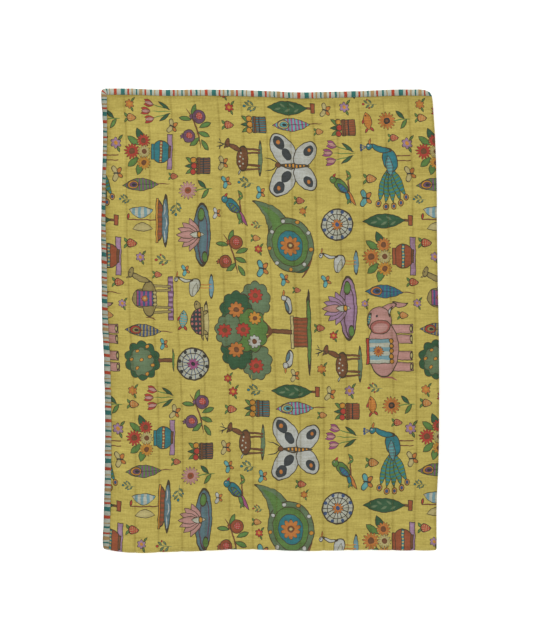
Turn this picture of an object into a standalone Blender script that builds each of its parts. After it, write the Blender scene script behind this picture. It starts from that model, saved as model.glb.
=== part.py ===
"""A quilted cotton blanket for one bed, bound all round and folded in four.

Each piece is made flat first, at (u, v, rise): u runs across the blanket, v along it, and rise
is the height above the middle of the cloth, towards its printed face. The flat piece is then
folded lengthwise, folded crosswise, and settled into the uneven lay of a soft stack.

Folded, X runs across to the lengthwise fold, Y up to the free ends, and Z up. Metres.
"""

import math

import bmesh
import bpy
from mathutils import Vector

# The blanket laid flat, over its binding
WIDTH = 1.600
LENGTH = 2.200

# Thickness of the cloth with its filling
CROWN_THICK = 0.0040
SEWN_THICK = 0.0020
EDGE_THICK = 0.0014

# The sewn lines, which run the length of the blanket in a long bow
LINE_COUNT = 27
LINE_SPACING = 0.0565
LINE_START = -0.012
LINE_BOW = 0.034
SHOULDER = 0.014

# The binding: a strip folded over the raw edge, with rounded mitres at the corners
BINDING_FACE = 0.015
BINDING_THICK = 0.00075
CLEARANCE = 0.0005
RAW_EDGE_INSET = 0.0014
CORNER_RADIUS = 0.008
CORNER_STEPS = 3
MITRE_SPREAD = 0.001

# The folds
LAYER_PITCH = 0.0052
LENGTHWISE_STEPS = 4
CROSSWISE_STEPS = 5
STRAIGHT_SPANS = 5
NEAR_FOLD = 0.025
FOLD_LOFT = 0.25
LOFT_REACH = 0.040
WAVE_LOFT = 0.035

# How far the long sides of the folded stack stray to +X, from the crosswise fold up
SIDES = (
    # share of the way up, left side, right side
    (0.0, -0.0010, -0.0024),
    (0.1, 0.0024, -0.0024),
    (0.2, 0.0047, 0.0024),
    (0.3, 0.0047, 0.0035),
    (0.4, 0.0024, 0.0035),
    (0.5, -0.0024, 0.0024),
    (0.6, -0.0035, 0.0000),
    (0.7, -0.0047, -0.0017),
    (0.8, -0.0030, -0.0024),
    (0.9, 0.0000, -0.0064),
    (1.0, -0.0047, -0.0130),
)

# How far its ends stray to +Y, from the free side to the lengthwise fold
ENDS = (
    # share of the way across, crosswise fold, free end
    (0.0, 0.0010, 0.0030),
    (0.1, -0.0060, 0.0024),
    (0.2, -0.0035, 0.0000),
    (0.3, -0.0012, 0.0007),
    (0.4, 0.0024, -0.0005),
    (0.5, 0.0012, -0.0028),
    (0.6, -0.0012, -0.0064),
    (0.7, 0.0000, -0.0047),
    (0.8, 0.0012, -0.0024),
    (0.9, 0.0000, 0.0007),
    (1.0, 0.0000, 0.0000),
)

# How far each layer's free corner draws in under the top one, from the lowest layer up
LAYERS = (
    # to +X, to +Y
    (0.0035, -0.0012),
    (0.0012, -0.0040),
    (0.0025, -0.0020),
    (0.0000, 0.0000),
)

MUSTARD = (0.44, 0.37, 0.10)
CREAM = (0.80, 0.72, 0.55)

LENGTHWISE_RADIUS = LAYER_PITCH / 2
CROSSWISE_RADIUS = LAYER_PITCH
LENGTHWISE_ARC = math.pi * LENGTHWISE_RADIUS
CROSSWISE_ARC = math.pi * CROSSWISE_RADIUS
RUN_ACROSS = (WIDTH - LENGTHWISE_ARC) / 2
RUN_ALONG = (LENGTH - CROSSWISE_ARC) / 2
HALF_HEIGHT = 1.5 * LAYER_PITCH + CROWN_THICK / 2
FOLDED_WIDTH = RUN_ACROSS + LENGTHWISE_RADIUS + SEWN_THICK / 2
FOLDED_LENGTH = RUN_ALONG + HALF_HEIGHT


def smooth(table, column, place):
    """The table's column at a place, on a smooth curve through its evenly spaced rows."""
    last = len(table) - 1
    row = min(int(place * last), last - 1)
    share = place * last - row
    before, low, high, after = (
        table[min(max(row + step, 0), last)][column] for step in (-1, 0, 1, 2)
    )
    slope_low = (high - before) / 2
    slope_high = (after - low) / 2
    rise = high - low
    bend = 3 * rise - 2 * slope_low - slope_high
    twist = slope_low + slope_high - 2 * rise
    return low + share * (slope_low + share * (bend + share * twist))


def fold_lengthwise(u, rise):
    """The place across the stack, and the height over the middle of the two layers."""
    radius = LENGTHWISE_RADIUS + rise
    past = u - RUN_ACROSS
    if past <= 0:
        return u, radius
    if past >= LENGTHWISE_ARC:
        return RUN_ACROSS - (past - LENGTHWISE_ARC), -radius
    angle = past / LENGTHWISE_RADIUS
    return RUN_ACROSS + radius * math.sin(angle), radius * math.cos(angle)


def fold_crosswise(v, height):
    """The place up the stack, and the height over the middle of the four layers."""
    radius = CROSSWISE_RADIUS + height
    past = v - RUN_ALONG
    if past <= 0:
        return -past, radius
    if past >= CROSSWISE_ARC:
        return past - CROSSWISE_ARC, -radius
    angle = past / CROSSWISE_RADIUS
    return -radius * math.sin(angle), radius * math.cos(angle)


def loft(x, y):
    """How full the stack is: it springs up along its folds and waves a little elsewhere."""
    fold = 0.0
    for gap in (FOLDED_WIDTH - x, y + HALF_HEIGHT):
        fold = max(fold, math.exp(-((gap / LOFT_REACH) ** 2)))
    wave = math.sin(9 * x + 5 * y) * math.cos(7 * y - 4 * x)
    return 1 + FOLD_LOFT * fold + WAVE_LOFT * wave


def settle(x, y, height):
    """Strays the outline, draws in the lower layers, and lifts the stack onto Z = 0."""
    z = HALF_HEIGHT + height
    across = min(max(x / FOLDED_WIDTH, 0), 1)
    up = min(max((y + HALF_HEIGHT) / FOLDED_LENGTH, 0), 1)
    free = (1 - across) * up
    layer = min(int(z / (2 * HALF_HEIGHT) * len(LAYERS)), len(LAYERS) - 1)
    draw_x, draw_y = LAYERS[layer]
    left = smooth(SIDES, 1, up)
    right = smooth(SIDES, 2, up)
    near = smooth(ENDS, 1, across)
    far = smooth(ENDS, 2, across)
    return Vector((
        x + left + (right - left) * across + free * draw_x,
        y + near + (far - near) * up + free * draw_y,
        z * loft(x, y),
    ))


def folded(u, v, rise):
    """Where a point of the flat blanket lies once it's folded."""
    x, height = fold_lengthwise(u, rise)
    y, height = fold_crosswise(v, height)
    return settle(x, y, height)


def rows_along():
    """Each row's place along the blanket, and whether its channels are full there."""
    ends = [(RAW_EDGE_INSET, False), (BINDING_FACE + MITRE_SPREAD, False)]
    ends.append((BINDING_FACE + 1.5 * SHOULDER, True))
    start = ends[-1][0]
    stop = RUN_ALONG - NEAR_FOLD
    for step in range(1, STRAIGHT_SPANS + 1):
        ends.append((start + (stop - start) * step / STRAIGHT_SPANS, True))
    fold = []
    for step in range(CROSSWISE_STEPS + 1):
        fold.append((RUN_ALONG + CROSSWISE_ARC * step / CROSSWISE_STEPS, True))
    other_end = [(LENGTH - place, full) for place, full in reversed(ends)]
    return ends + fold + other_end


def line_places(v):
    """Where each sewn line crosses this row. The middle one is the lengthwise fold."""
    places = []
    for index in range(LINE_COUNT):
        from_fold = (index - LINE_COUNT // 2) * LINE_SPACING
        share = min(1, abs(from_fold) / (3 * LINE_SPACING))
        drift = LINE_START + LINE_BOW * math.sin(math.pi / 2 * v / LENGTH)
        places.append(WIDTH / 2 + from_fold + share * drift)
    return places


def stations_across(v):
    """Each station's place across this row, and the thickness there."""
    edge = [(RAW_EDGE_INSET, EDGE_THICK), (BINDING_FACE + MITRE_SPREAD, EDGE_THICK)]
    stations = list(edge)
    for index, place in enumerate(line_places(v)):
        if index != LINE_COUNT // 2:
            stations.append((place - SHOULDER, CROWN_THICK))
            stations.append((place, SEWN_THICK))
            stations.append((place + SHOULDER, CROWN_THICK))
            continue
        stations.append((RUN_ACROSS - SHOULDER, CROWN_THICK))
        for step in range(LENGTHWISE_STEPS + 1):
            bend = RUN_ACROSS + LENGTHWISE_ARC * step / LENGTHWISE_STEPS
            stations.append((bend, SEWN_THICK))
        stations.append((WIDTH - RUN_ACROSS + SHOULDER, CROWN_THICK))
    return stations + [(WIDTH - place, thick) for place, thick in reversed(edge)]


def round_corner(u, v):
    """Draws the raw cloth's corner in, clear of the binding's rounded one."""
    if {u, v} <= {RAW_EDGE_INSET, WIDTH - RAW_EDGE_INSET, LENGTH - RAW_EDGE_INSET}:
        draw = 0.4 * CORNER_RADIUS
        u += math.copysign(draw, WIDTH / 2 - u)
        v += math.copysign(draw, LENGTH / 2 - v)
    return u, v


def make_object(name, bm, colour, roughness):
    bmesh.ops.recalc_face_normals(bm, faces=bm.faces)
    mesh = bpy.data.meshes.new(name)
    bm.to_mesh(mesh)
    bm.free()
    mesh.shade_smooth()
    mesh.set_sharp_from_angle(angle=math.radians(40))
    material = bpy.data.materials.new(name)
    material.use_nodes = True
    shader = material.node_tree.nodes["Principled BSDF"]
    shader.inputs["Base Color"].default_value = (*colour, 1)
    shader.inputs["Roughness"].default_value = roughness
    shader.inputs["Metallic"].default_value = 0
    mesh.materials.append(material)
    made = bpy.data.objects.new(name, mesh)
    bpy.context.scene.collection.objects.link(made)
    return made


def quilt():
    """The printed cloth, its filling and its backing, as one solid with sewn channels."""
    bm = bmesh.new()
    faces_up = []
    faces_down = []
    for v, full in rows_along():
        up = []
        down = []
        for u, thick in stations_across(v):
            half = (thick if full else EDGE_THICK) / 2
            place = round_corner(u, v)
            up.append(bm.verts.new(folded(*place, half)))
            down.append(bm.verts.new(folded(*place, -half)))
        faces_up.append(up)
        faces_down.append(down)
    for grid in (faces_up, faces_down):
        for row, after in zip(grid, grid[1:]):
            for a, b, c, d in zip(row, row[1:], after[1:], after):
                bm.faces.new((a, b, c, d))
    rims = (
        (faces_up[0], faces_down[0]),
        (faces_up[-1], faces_down[-1]),
        ([row[0] for row in faces_up], [row[0] for row in faces_down]),
        ([row[-1] for row in faces_up], [row[-1] for row in faces_down]),
    )
    for up, down in rims:
        for a, b, c, d in zip(up, up[1:], down[1:], down):
            bm.faces.new((a, b, c, d))
    return make_object("quilt", bm, MUSTARD, 0.9)


def binding_profile():
    """The strip's section: in from the finished edge, and up from the middle of the cloth."""
    inner = EDGE_THICK / 2 + CLEARANCE
    outer = inner + BINDING_THICK
    turn = BINDING_THICK
    return (
        (BINDING_FACE, outer),
        (turn, outer),
        (0, 0),
        (turn, -outer),
        (BINDING_FACE, -outer),
        (BINDING_FACE, -inner),
        (turn, -inner),
        (turn, inner),
        (BINDING_FACE, inner),
    )


def binding_sections():
    """Round the blanket's four edges: each section's finished edge and inner edge."""
    corners = [Vector(c) for c in ((0, 0), (0, LENGTH), (WIDTH, LENGTH), (WIDTH, 0))]
    rows = [v for v, full in rows_along() if full]
    sections = []
    for index, corner in enumerate(corners):
        back = (corners[index - 1] - corner).normalized()
        ahead_corner = corners[(index + 1) % 4]
        ahead = (ahead_corner - corner).normalized()
        for step in range(CORNER_STEPS + 1):
            share = step / CORNER_STEPS
            angle = share * math.pi / 2
            outer = back * (1 - math.sin(angle)) + ahead * (1 - math.cos(angle))
            inner = back * (1 - share) + ahead * share
            sections.append((
                corner + outer * CORNER_RADIUS,
                corner + (back + ahead) * BINDING_FACE + inner * MITRE_SPREAD,
            ))
        if ahead.x == 0:
            places = rows
        else:
            places = []
            for u, thick in stations_across(corner.y):
                if thick == SEWN_THICK or abs(u - WIDTH / 2) < LINE_SPACING:
                    places.append(u)
        if ahead.x + ahead.y < 0:
            places = places[::-1]
        for place in places:
            outer = Vector((corner.x, place) if ahead.x == 0 else (place, corner.y))
            sections.append((outer, outer + back * BINDING_FACE))
    return sections


def binding():
    """The striped strip that wraps the raw edge, one loop round the whole blanket."""
    bm = bmesh.new()
    rings = []
    for outer, inner in binding_sections():
        ring = []
        for inset, rise in binding_profile():
            u, v = outer.lerp(inner, inset / BINDING_FACE)
            ring.append(bm.verts.new(folded(u, v, rise)))
        rings.append(ring)
    for ring, after in zip(rings, rings[1:] + rings[:1]):
        for a, b, c, d in zip(ring, ring[1:] + ring[:1], after[1:] + after[:1], after):
            bm.faces.new((a, b, c, d))
    return make_object("binding", bm, CREAM, 0.85)


def stand_at_origin(pieces):
    """Puts the middle of the stack's foot at the origin."""
    points = [vert.co for piece in pieces for vert in piece.data.vertices]
    low = Vector([min(point[axis] for point in points) for axis in range(3)])
    high = Vector([max(point[axis] for point in points) for axis in range(3)])
    foot = Vector(((low.x + high.x) / 2, (low.y + high.y) / 2, low.z))
    for point in points:
        point -= foot


for old in list(bpy.data.objects):
    bpy.data.objects.remove(old, do_unlink=True)
stand_at_origin([quilt(), binding()])
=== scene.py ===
"""Looks of a quilted cotton dohar: printed cloth, bound in striped cotton, folded in four.

The sheet is drawn flat at (u, v, rise): u across it, v along it, and rise above the middle of
the cloth, towards its printed face. Folded, X runs across to the lengthwise fold, Y up to the
free ends, and Z up. Metres, except where a name or a comment says millimetres.
"""

import math
from functools import partialmethod

import bpy
import numpy as np
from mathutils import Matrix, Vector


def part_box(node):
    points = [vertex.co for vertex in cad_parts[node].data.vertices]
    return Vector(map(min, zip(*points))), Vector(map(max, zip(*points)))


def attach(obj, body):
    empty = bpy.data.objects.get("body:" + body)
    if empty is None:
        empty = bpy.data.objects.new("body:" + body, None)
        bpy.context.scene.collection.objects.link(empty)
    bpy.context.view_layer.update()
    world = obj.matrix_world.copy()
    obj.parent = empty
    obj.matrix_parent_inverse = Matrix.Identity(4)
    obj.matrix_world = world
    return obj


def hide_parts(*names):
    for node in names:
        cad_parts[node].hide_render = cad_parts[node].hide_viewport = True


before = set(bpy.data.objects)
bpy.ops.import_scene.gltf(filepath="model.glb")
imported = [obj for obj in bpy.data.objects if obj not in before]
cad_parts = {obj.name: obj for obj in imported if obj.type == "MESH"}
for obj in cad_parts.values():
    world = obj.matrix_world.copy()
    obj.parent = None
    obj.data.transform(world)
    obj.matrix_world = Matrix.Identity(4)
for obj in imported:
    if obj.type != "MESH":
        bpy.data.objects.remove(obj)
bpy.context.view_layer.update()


# ---------------------------------------------------------------------------------------------
# The studio: the blanket lies on a white table, seen from straight above through a long lens.
# The light is a plain white room, with one large soft box up to the left that gives the
# channels their low relief.

CAMERA_HEIGHT = 4.0
VIEW_LONG_SIDE = 1.526
VIEW_OFFSET = (-0.0084, 0.0069)
SEEN_TO = 100
ROOM_LIGHT = 0.86
SOFT_BOX_WATTS = 26.0
SOFT_BOX_SIZE = 1.6
SOFT_BOX_PLACE = (-1.5, 1.3, 2.6)
TABLE_SIZE = 60.0
TABLE_BELOW = 0.0004
TABLE_GLOW = 0.44


def linear(hex_colour):
    """A colour written as sRGB hex, as the linear values that the shaders use."""
    parts = [int(hex_colour[start:start + 2], 16) / 255 for start in (0, 2, 4)]
    parts = [p / 12.92 if p <= 0.04045 else ((p + 0.055) / 1.055) ** 2.4 for p in parts]
    return (*parts, 1.0)


def new_material(name, plain_sockets):
    """A material, its node tree and its shader, with the shader's plain sockets set."""
    material = bpy.data.materials.new(name)
    material.use_nodes = True
    shader = material.node_tree.nodes["Principled BSDF"]
    for socket, value in plain_sockets.items():
        shader.inputs[socket].default_value = value
    return material, material.node_tree, shader


def add_node(tree, kind, inputs, **settings):
    """Adds a node with its settings, and fills its sockets with values or with links."""
    node = tree.nodes.new("ShaderNode" + kind)
    for name, value in settings.items():
        setattr(node, name, value)
    for key, value in inputs.items():
        if isinstance(value, bpy.types.Node):
            value = value.outputs[0]
        if isinstance(value, bpy.types.NodeSocket):
            tree.links.new(value, node.inputs[key])
        else:
            node.inputs[key].default_value = value
    return node


def make_mesh(name, points, faces):
    mesh = bpy.data.meshes.new(name)
    mesh.from_pydata(points, [], faces)
    return mesh


def put_in_scene(name, data):
    made = bpy.data.objects.new(name, data)
    bpy.context.scene.collection.objects.link(made)
    return made


camera = put_in_scene("camera", bpy.data.cameras.new("camera"))
camera.location = (*VIEW_OFFSET, CAMERA_HEIGHT)
camera.data.lens = camera.data.sensor_width * CAMERA_HEIGHT / VIEW_LONG_SIDE
camera.data.clip_end = SEEN_TO
bpy.context.scene.camera = camera
bpy.context.scene.view_settings.view_transform = "Standard"

room = bpy.data.worlds.new("white-room")
room.use_nodes = True
room.node_tree.nodes["Background"].inputs["Color"].default_value = linear("ffffff")
room.node_tree.nodes["Background"].inputs["Strength"].default_value = ROOM_LIGHT
bpy.context.scene.world = room

soft_box = put_in_scene("soft-box", bpy.data.lights.new("soft-box", "AREA"))
soft_box.data.size = SOFT_BOX_SIZE
soft_box.data.energy = SOFT_BOX_WATTS
soft_box.location = SOFT_BOX_PLACE
soft_box.rotation_mode = "QUATERNION"
soft_box.rotation_quaternion = (-soft_box.location).to_track_quat("-Z", "Y")

# Opal acrylic, lit evenly from below: it reads as pure white, and it softens every shadow.
acrylic, *_ = new_material("opal acrylic, lit from below", {
    "Base Color": linear("fafafa"),
    "Roughness": 0.8,
    "Emission Color": linear("ffffff"),
    "Emission Strength": TABLE_GLOW,
})
table_corners = [
    (x * TABLE_SIZE / 2, y * TABLE_SIZE / 2, -TABLE_BELOW)
    for x, y in ((-1, -1), (1, -1), (1, 1), (-1, 1))
]
table_mesh = make_mesh("table", table_corners, [(0, 1, 2, 3)])
table_mesh.materials.append(acrylic)
put_in_scene("table", table_mesh)


# ---------------------------------------------------------------------------------------------
# The quilt: two layers of thin cotton over a light cotton filling, sewn through along 27 lines.
# It's folded lengthwise and then crosswise, printed face out. The sheet is one closed skin.

WIDTH = 1.600
LENGTH = 2.200
CROWN_THICK = 0.0040
SEWN_THICK = 0.0020
EDGE_THICK = 0.0014
BINDING_FACE = 0.015
RAW_EDGE_INSET = 0.0014
CORNER_TRIM = 0.0055
THIN_EDGE = 0.016
FULL_FROM = 0.036

# The sewn lines: how far over they start, and how far they've drifted by the other end
LINE_COUNT = 27
LINE_SPACING = 0.0565
LINE_START = -0.012
LINE_BOW = 0.034

# The stack rises by these shares: towards its folds, and in long waves over it, which turn by
# so many radians a metre to +X and to +Y
LAYER_PITCH = 0.0052
FOLD_LOFT = 0.25
LOFT_REACH = 0.040
WAVE_LOFT = 0.035
WAVES = ((9, 5), (-4, 7))

# How far the folded stack's long sides stray to +X, in even steps from the crosswise fold up
FREE_SIDE_STRAY = (
    -0.0010, 0.0024, 0.0047, 0.0047, 0.0024, -0.0024, -0.0035, -0.0047, -0.0030, 0.0000, -0.0047,
)
LENGTHWISE_STRAY = (
    -0.0024, -0.0024, 0.0024, 0.0035, 0.0035, 0.0024, 0.0000, -0.0017, -0.0024, -0.0064, -0.0130,
)

# How far its ends stray to +Y, in even steps from the free side to the lengthwise fold
CROSSWISE_STRAY = (
    0.0010, -0.0060, -0.0035, -0.0012, 0.0024, 0.0012, -0.0012, 0.0000, 0.0012, 0.0000, 0.0000,
)
FREE_ENDS_STRAY = (
    0.0030, 0.0024, 0.0000, 0.0007, -0.0005, -0.0028, -0.0064, -0.0047, -0.0024, 0.0007, 0.0000,
)

# How far each layer's free corner draws in under the top one, from the lowest layer up
LAYERS = (
    # to +X, to +Y
    (0.0035, -0.0012),
    (0.0012, -0.0040),
    (0.0025, -0.0020),
    (0.0000, 0.0000),
)

# The folded corners, which the turn of the cloth draws round
ROUNDED = (
    # share of the way across, share of the way up, how far it's drawn in
    (1, 1, 0.0058),
    (0, 0, 0.0024),
)
ROUNDED_REACH = 0.0125

LENGTHWISE_RADIUS = LAYER_PITCH / 2
CROSSWISE_RADIUS = LAYER_PITCH
LENGTHWISE_ARC = math.pi * LENGTHWISE_RADIUS
CROSSWISE_ARC = math.pi * CROSSWISE_RADIUS
RUN_ACROSS = (WIDTH - LENGTHWISE_ARC) / 2
RUN_ALONG = (LENGTH - CROSSWISE_ARC) / 2
PAST_LENGTHWISE = RUN_ACROSS + LENGTHWISE_ARC
PAST_CROSSWISE = RUN_ALONG + CROSSWISE_ARC
HALF_HEIGHT = 1.5 * LAYER_PITCH + CROWN_THICK / 2
FOLDED_WIDTH = RUN_ACROSS + LENGTHWISE_RADIUS + SEWN_THICK / 2
FOLDED_LENGTH = RUN_ALONG + HALF_HEIGHT


def smooth(values, place):
    """The value at each place from 0 to 1, on a smooth curve through these, evenly spaced."""
    last = len(values) - 1
    step = np.minimum((place * last).astype(int), last - 1)
    share = place * last - step
    before, low, high, after = (
        np.array(values)[np.clip(step + more, 0, last)] for more in (-1, 0, 1, 2)
    )
    slope_low = (high - before) / 2
    slope_high = (after - low) / 2
    bend = 3 * (high - low) - 2 * slope_low - slope_high
    twist = slope_low + slope_high - 2 * (high - low)
    return low + share * (slope_low + share * (bend + share * twist))


def fold_over(place, rise, run, inner_radius):
    """Bends a strip back under itself past run: where it lies, and its height over the fold."""
    arc = math.pi * inner_radius
    past = place - run
    angle = np.clip(past, 0, arc) / inner_radius
    radius = inner_radius + rise
    lies = np.where(past <= 0, place, np.where(past >= arc, run - (past - arc), run))
    return lies + radius * np.sin(angle), radius * np.cos(angle)


def settle(x, y, height):
    """Strays the outline, draws in the lower layers, and lifts the stack onto the table."""
    z = HALF_HEIGHT + height
    across = np.clip(x / FOLDED_WIDTH, 0, 1)
    up = np.clip((y + HALF_HEIGHT) / FOLDED_LENGTH, 0, 1)
    free = (1 - across) * up
    layer = np.clip((z / (2 * HALF_HEIGHT) * len(LAYERS)).astype(int), 0, len(LAYERS) - 1)
    draw = np.array(LAYERS)[layer]
    left, right = smooth(FREE_SIDE_STRAY, up), smooth(LENGTHWISE_STRAY, up)
    near, far = smooth(CROSSWISE_STRAY, across), smooth(FREE_ENDS_STRAY, across)
    to_fold = np.minimum(np.abs(FOLDED_WIDTH - x), np.abs(y + HALF_HEIGHT))
    spring = np.exp(-((to_fold / LOFT_REACH) ** 2))
    first, second = (turn_x * x + turn_y * y for turn_x, turn_y in WAVES)
    rounded = np.zeros((2, *x.shape))
    for corner_across, corner_up, drawn_in in ROUNDED:
        gap = np.hypot(
            corner_across * FOLDED_WIDTH - x, corner_up * FOLDED_LENGTH - HALF_HEIGHT - y,
        )
        pull = drawn_in * np.exp(-((gap / ROUNDED_REACH) ** 2))
        rounded += np.multiply.outer([1 - 2 * corner_across, 1 - 2 * corner_up], pull)
    return np.stack([
        x + left + (right - left) * across + free * draw[..., 0] + rounded[0],
        y + near + (far - near) * up + free * draw[..., 1] + rounded[1],
        z * (1 + FOLD_LOFT * spring + WAVE_LOFT * np.sin(first) * np.cos(second)),
    ], axis=-1)


def folded(u, v, rise):
    """Where points of the flat blanket lie once it's folded."""
    u, v, rise = np.broadcast_arrays(*(np.asarray(part, float) for part in (u, v, rise)))
    x, height = fold_over(u, rise, RUN_ACROSS, LENGTHWISE_RADIUS)
    along, height = fold_over(v, height, RUN_ALONG, CROSSWISE_RADIUS)
    return settle(x, RUN_ALONG - along, height)


# The folded stack is set where the frame has it: its free side and free ends touch the box.
EDGE_POINTS = 400
free_side = folded(0, np.linspace(0, LENGTH, EDGE_POINTS), 0)
free_ends = folded(np.linspace(0, WIDTH, EDGE_POINTS), 0, 0)
binding_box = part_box("binding")
STAND = np.array([
    binding_box[0].x - free_side[:, 0].min(),
    binding_box[1].y - free_ends[:, 1].max(),
    0,
])

# Where the cloth's stations lie between two sewn lines, as shares: dense where it's seen
DENSE_SHARES = (
    0, 0.022, 0.06, 0.12, 0.19, 0.27, 0.36, 0.45, 0.54, 0.63, 0.72, 0.80, 0.87, 0.93, 0.975,
)
LOOSE_SHARES = (0, 0.07, 0.30, 0.5, 0.93)
MIDDLE_SHARES = (0.45, 0.5)
FOLD_STEPS = 5
FOLD_SHARES = tuple(step / FOLD_STEPS for step in range(FOLD_STEPS))
DENSE_ROW = 0.0047
LOOSE_ROW = 0.018
INNER_FACE_EVERY = 4
SEAM_REACH = 0.019

# The top layer's relief: how wide, long and high its swells are, and how far each reaches
PUCKERS = (0.040, 0.0095, 1.0)
FINE_PUCKERS = (0.021, 0.015, 0.7)
PUCKER_RISE = 0.00042
PUCKER_RISE_AT_SEAM = 0.00058
PUCKER_REACH = 0.012
SWELLS = (0.15, 0.07, 0.0005)
UNEVEN_PULL = (0.03, 0.012, 0.35)
PULL_REACH = 0.004
SEAM_RISE = 0.0006
RELIEF_SEED = 11
NOISE_CELLS = (64, 512)

# Soft creases on the top layer, left from folding: where they start and end, in metres from
# the free side and from the free ends, then their width and height. A trough is negative.
CREASES = (
    # from side, from ends, to side, to ends, width, height
    (0.470, 0.060, 0.720, 0.100, 0.010, 0.00170),
    (0.060, 0.330, 0.300, 0.300, 0.012, -0.00136),
    (0.520, 0.420, 0.760, 0.470, 0.011, 0.00153),
    (0.100, 0.610, 0.420, 0.640, 0.014, -0.00119),
    (0.560, 0.760, 0.790, 0.720, 0.010, 0.00170),
    (0.200, 0.900, 0.330, 1.040, 0.013, 0.00153),
    (0.600, 1.000, 0.760, 1.060, 0.010, -0.00136),
    (0.020, 0.180, 0.160, 0.150, 0.009, 0.00136),
)
CREASE_WANDER = 0.006
CREASE_WAVES = 9
CREASE_SHIFT = 40


def soft_noise(across, along, size, seed):
    """Smooth unevenness, from swells of this width, length and height."""
    chance = np.random.default_rng(RELIEF_SEED + seed)
    heights = chance.uniform(-1, 1, NOISE_CELLS)
    column, row = np.abs(across) / size[0], np.abs(along) / size[1]
    left, low = column.astype(int), row.astype(int)
    share_x, share_y = (part * part * (3 - 2 * part) for part in (column - left, row - low))
    near, far = (
        heights[(left + step) % NOISE_CELLS[0], low % NOISE_CELLS[1]] * (1 - share_y)
        + heights[(left + step) % NOISE_CELLS[0], (low + 1) % NOISE_CELLS[1]] * share_y
        for step in (0, 1)
    )
    return size[2] * (near * (1 - share_x) + far * share_x)


def crease_rise(u, v):
    rise = np.zeros_like(u)
    for from_u, from_v, to_u, to_v, width, height in CREASES:
        run_u, run_v = to_u - from_u, to_v - from_v
        share = ((u - from_u) * run_u + (v - from_v) * run_v) / (run_u**2 + run_v**2)
        share = np.clip(share, 0, 1)
        wander = CREASE_WANDER * np.sin(CREASE_WAVES * share + CREASE_SHIFT * from_u)
        gap = np.hypot(u - from_u - share * run_u, v - from_v - share * run_v + wander)
        rise += height * np.exp(-((gap / width) ** 2)) * np.sin(math.pi * share) ** 0.5
    return rise


def line_place(index, v):
    """Where a sewn line lies across the blanket, at each place along it."""
    from_fold = (index - LINE_COUNT // 2) * LINE_SPACING
    share = min(1, abs(from_fold) / (3 * LINE_SPACING))
    drift = LINE_START + LINE_BOW * np.sin(math.pi / 2 * v / LENGTH)
    return WIDTH / 2 + from_fold + share * drift


# Rows run across the blanket. The plain inner face has only some of the dense ones.
dense = round((RUN_ALONG - THIN_EDGE) / DENSE_ROW)
loose = round((LENGTH - THIN_EDGE - PAST_CROSSWISE) / LOOSE_ROW)
row_v = np.concatenate([
    [RAW_EDGE_INSET],
    np.linspace(THIN_EDGE, RUN_ALONG, dense, endpoint=False),
    np.linspace(RUN_ALONG, PAST_CROSSWISE, FOLD_STEPS + 1),
    np.linspace(PAST_CROSSWISE, LENGTH - THIN_EDGE, loose + 1)[1:],
    [LENGTH - RAW_EDGE_INSET],
])
kept_rows = np.array([0, *range(1, dense + 1, INNER_FACE_EVERY), *range(dense + 1, len(row_v))])

# Columns run along it, between these sides: the edges, the sewn lines and the fold's two.
half_lines = LINE_COUNT // 2
sides = [line_place(index, row_v) for index in range(LINE_COUNT)]
sides[half_lines:half_lines + 1] = [RUN_ACROSS, PAST_LENGTHWISE]
sides = [RAW_EDGE_INSET, THIN_EDGE, *sides, WIDTH - THIN_EDGE, WIDTH - RAW_EDGE_INSET]
sides = [side + 0 * row_v for side in sides]
side_thick = [EDGE_THICK] * 2 + [SEWN_THICK] * (LINE_COUNT + 1) + [EDGE_THICK] * 2
dense_bands, loose_bands = ([part] * (half_lines + 1) for part in (DENSE_SHARES, LOOSE_SHARES))
columns = []
for band, shares in enumerate([(0,), *dense_bands, FOLD_SHARES, *loose_bands, (0,)]):
    start, end = sides[band], sides[band + 1]
    for share in shares:
        past, left = (end - start) * share, (end - start) * (1 - share)
        thick = side_thick[band] + 0 * row_v
        if shares in (DENSE_SHARES, LOOSE_SHARES):
            thick = CROWN_THICK + 0 * row_v
            for side, gap in ((band, past), (band + 1, left)):
                drawn_in = CROWN_THICK - side_thick[side]
                thick = thick - drawn_in * np.clip(1 - gap / SEAM_REACH, 0, 1) ** 2
        kept = share in (0, *MIDDLE_SHARES) or shares == FOLD_SHARES
        columns.append((start + past, thick / 2, np.minimum(past, left), kept))
columns.append((sides[-1], EDGE_THICK / 2 + 0 * row_v, 1 + 0 * row_v, True))

sheet_u, half, to_seam = (np.stack(part, axis=1) for part in list(zip(*columns))[:3])
sheet_v = np.repeat(row_v[:, None], len(columns), axis=1)
kept_columns = np.flatnonzero([kept for *_, kept in columns])
# Its corners are trimmed, so that the rounded corners of the binding cover them.
for row, column in ((0, 0), (0, -1), (-1, 0), (-1, -1)):
    sheet_u[row, column] = CORNER_TRIM if column == 0 else WIDTH - CORNER_TRIM
    sheet_v[row, column] = CORNER_TRIM if row == 0 else LENGTH - CORNER_TRIM
from_end = np.minimum(sheet_v, LENGTH - sheet_v)
fullness = np.clip((from_end - THIN_EDGE) / (FULL_FROM - THIN_EDGE), 0, 1)
fullness = fullness * (2 - fullness)
half = EDGE_THICK / 2 + (half - EDGE_THICK / 2) * fullness

# The top layer's own relief: troughs drawn tight by the thread, puckers that run across from
# them, long soft swells, and the creases.
on_top = (sheet_u < RUN_ACROSS) & (sheet_v < RUN_ALONG)
noises = [
    soft_noise(sheet_u, sheet_v, size, seed)
    for seed, size in enumerate((PUCKERS, FINE_PUCKERS, SWELLS, UNEVEN_PULL), 1)
]
pucker_rise = PUCKER_RISE + PUCKER_RISE_AT_SEAM * np.exp(-to_seam / PUCKER_REACH)
pull = (SEWN_THICK / 2 - SEAM_RISE) * np.exp(-to_seam / PULL_REACH) * (1 + noises[3])
relief = (noises[0] + noises[1]) * pucker_rise + noises[2] + crease_rise(sheet_u, sheet_v)
relief = (relief - pull) * fullness * on_top

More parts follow.
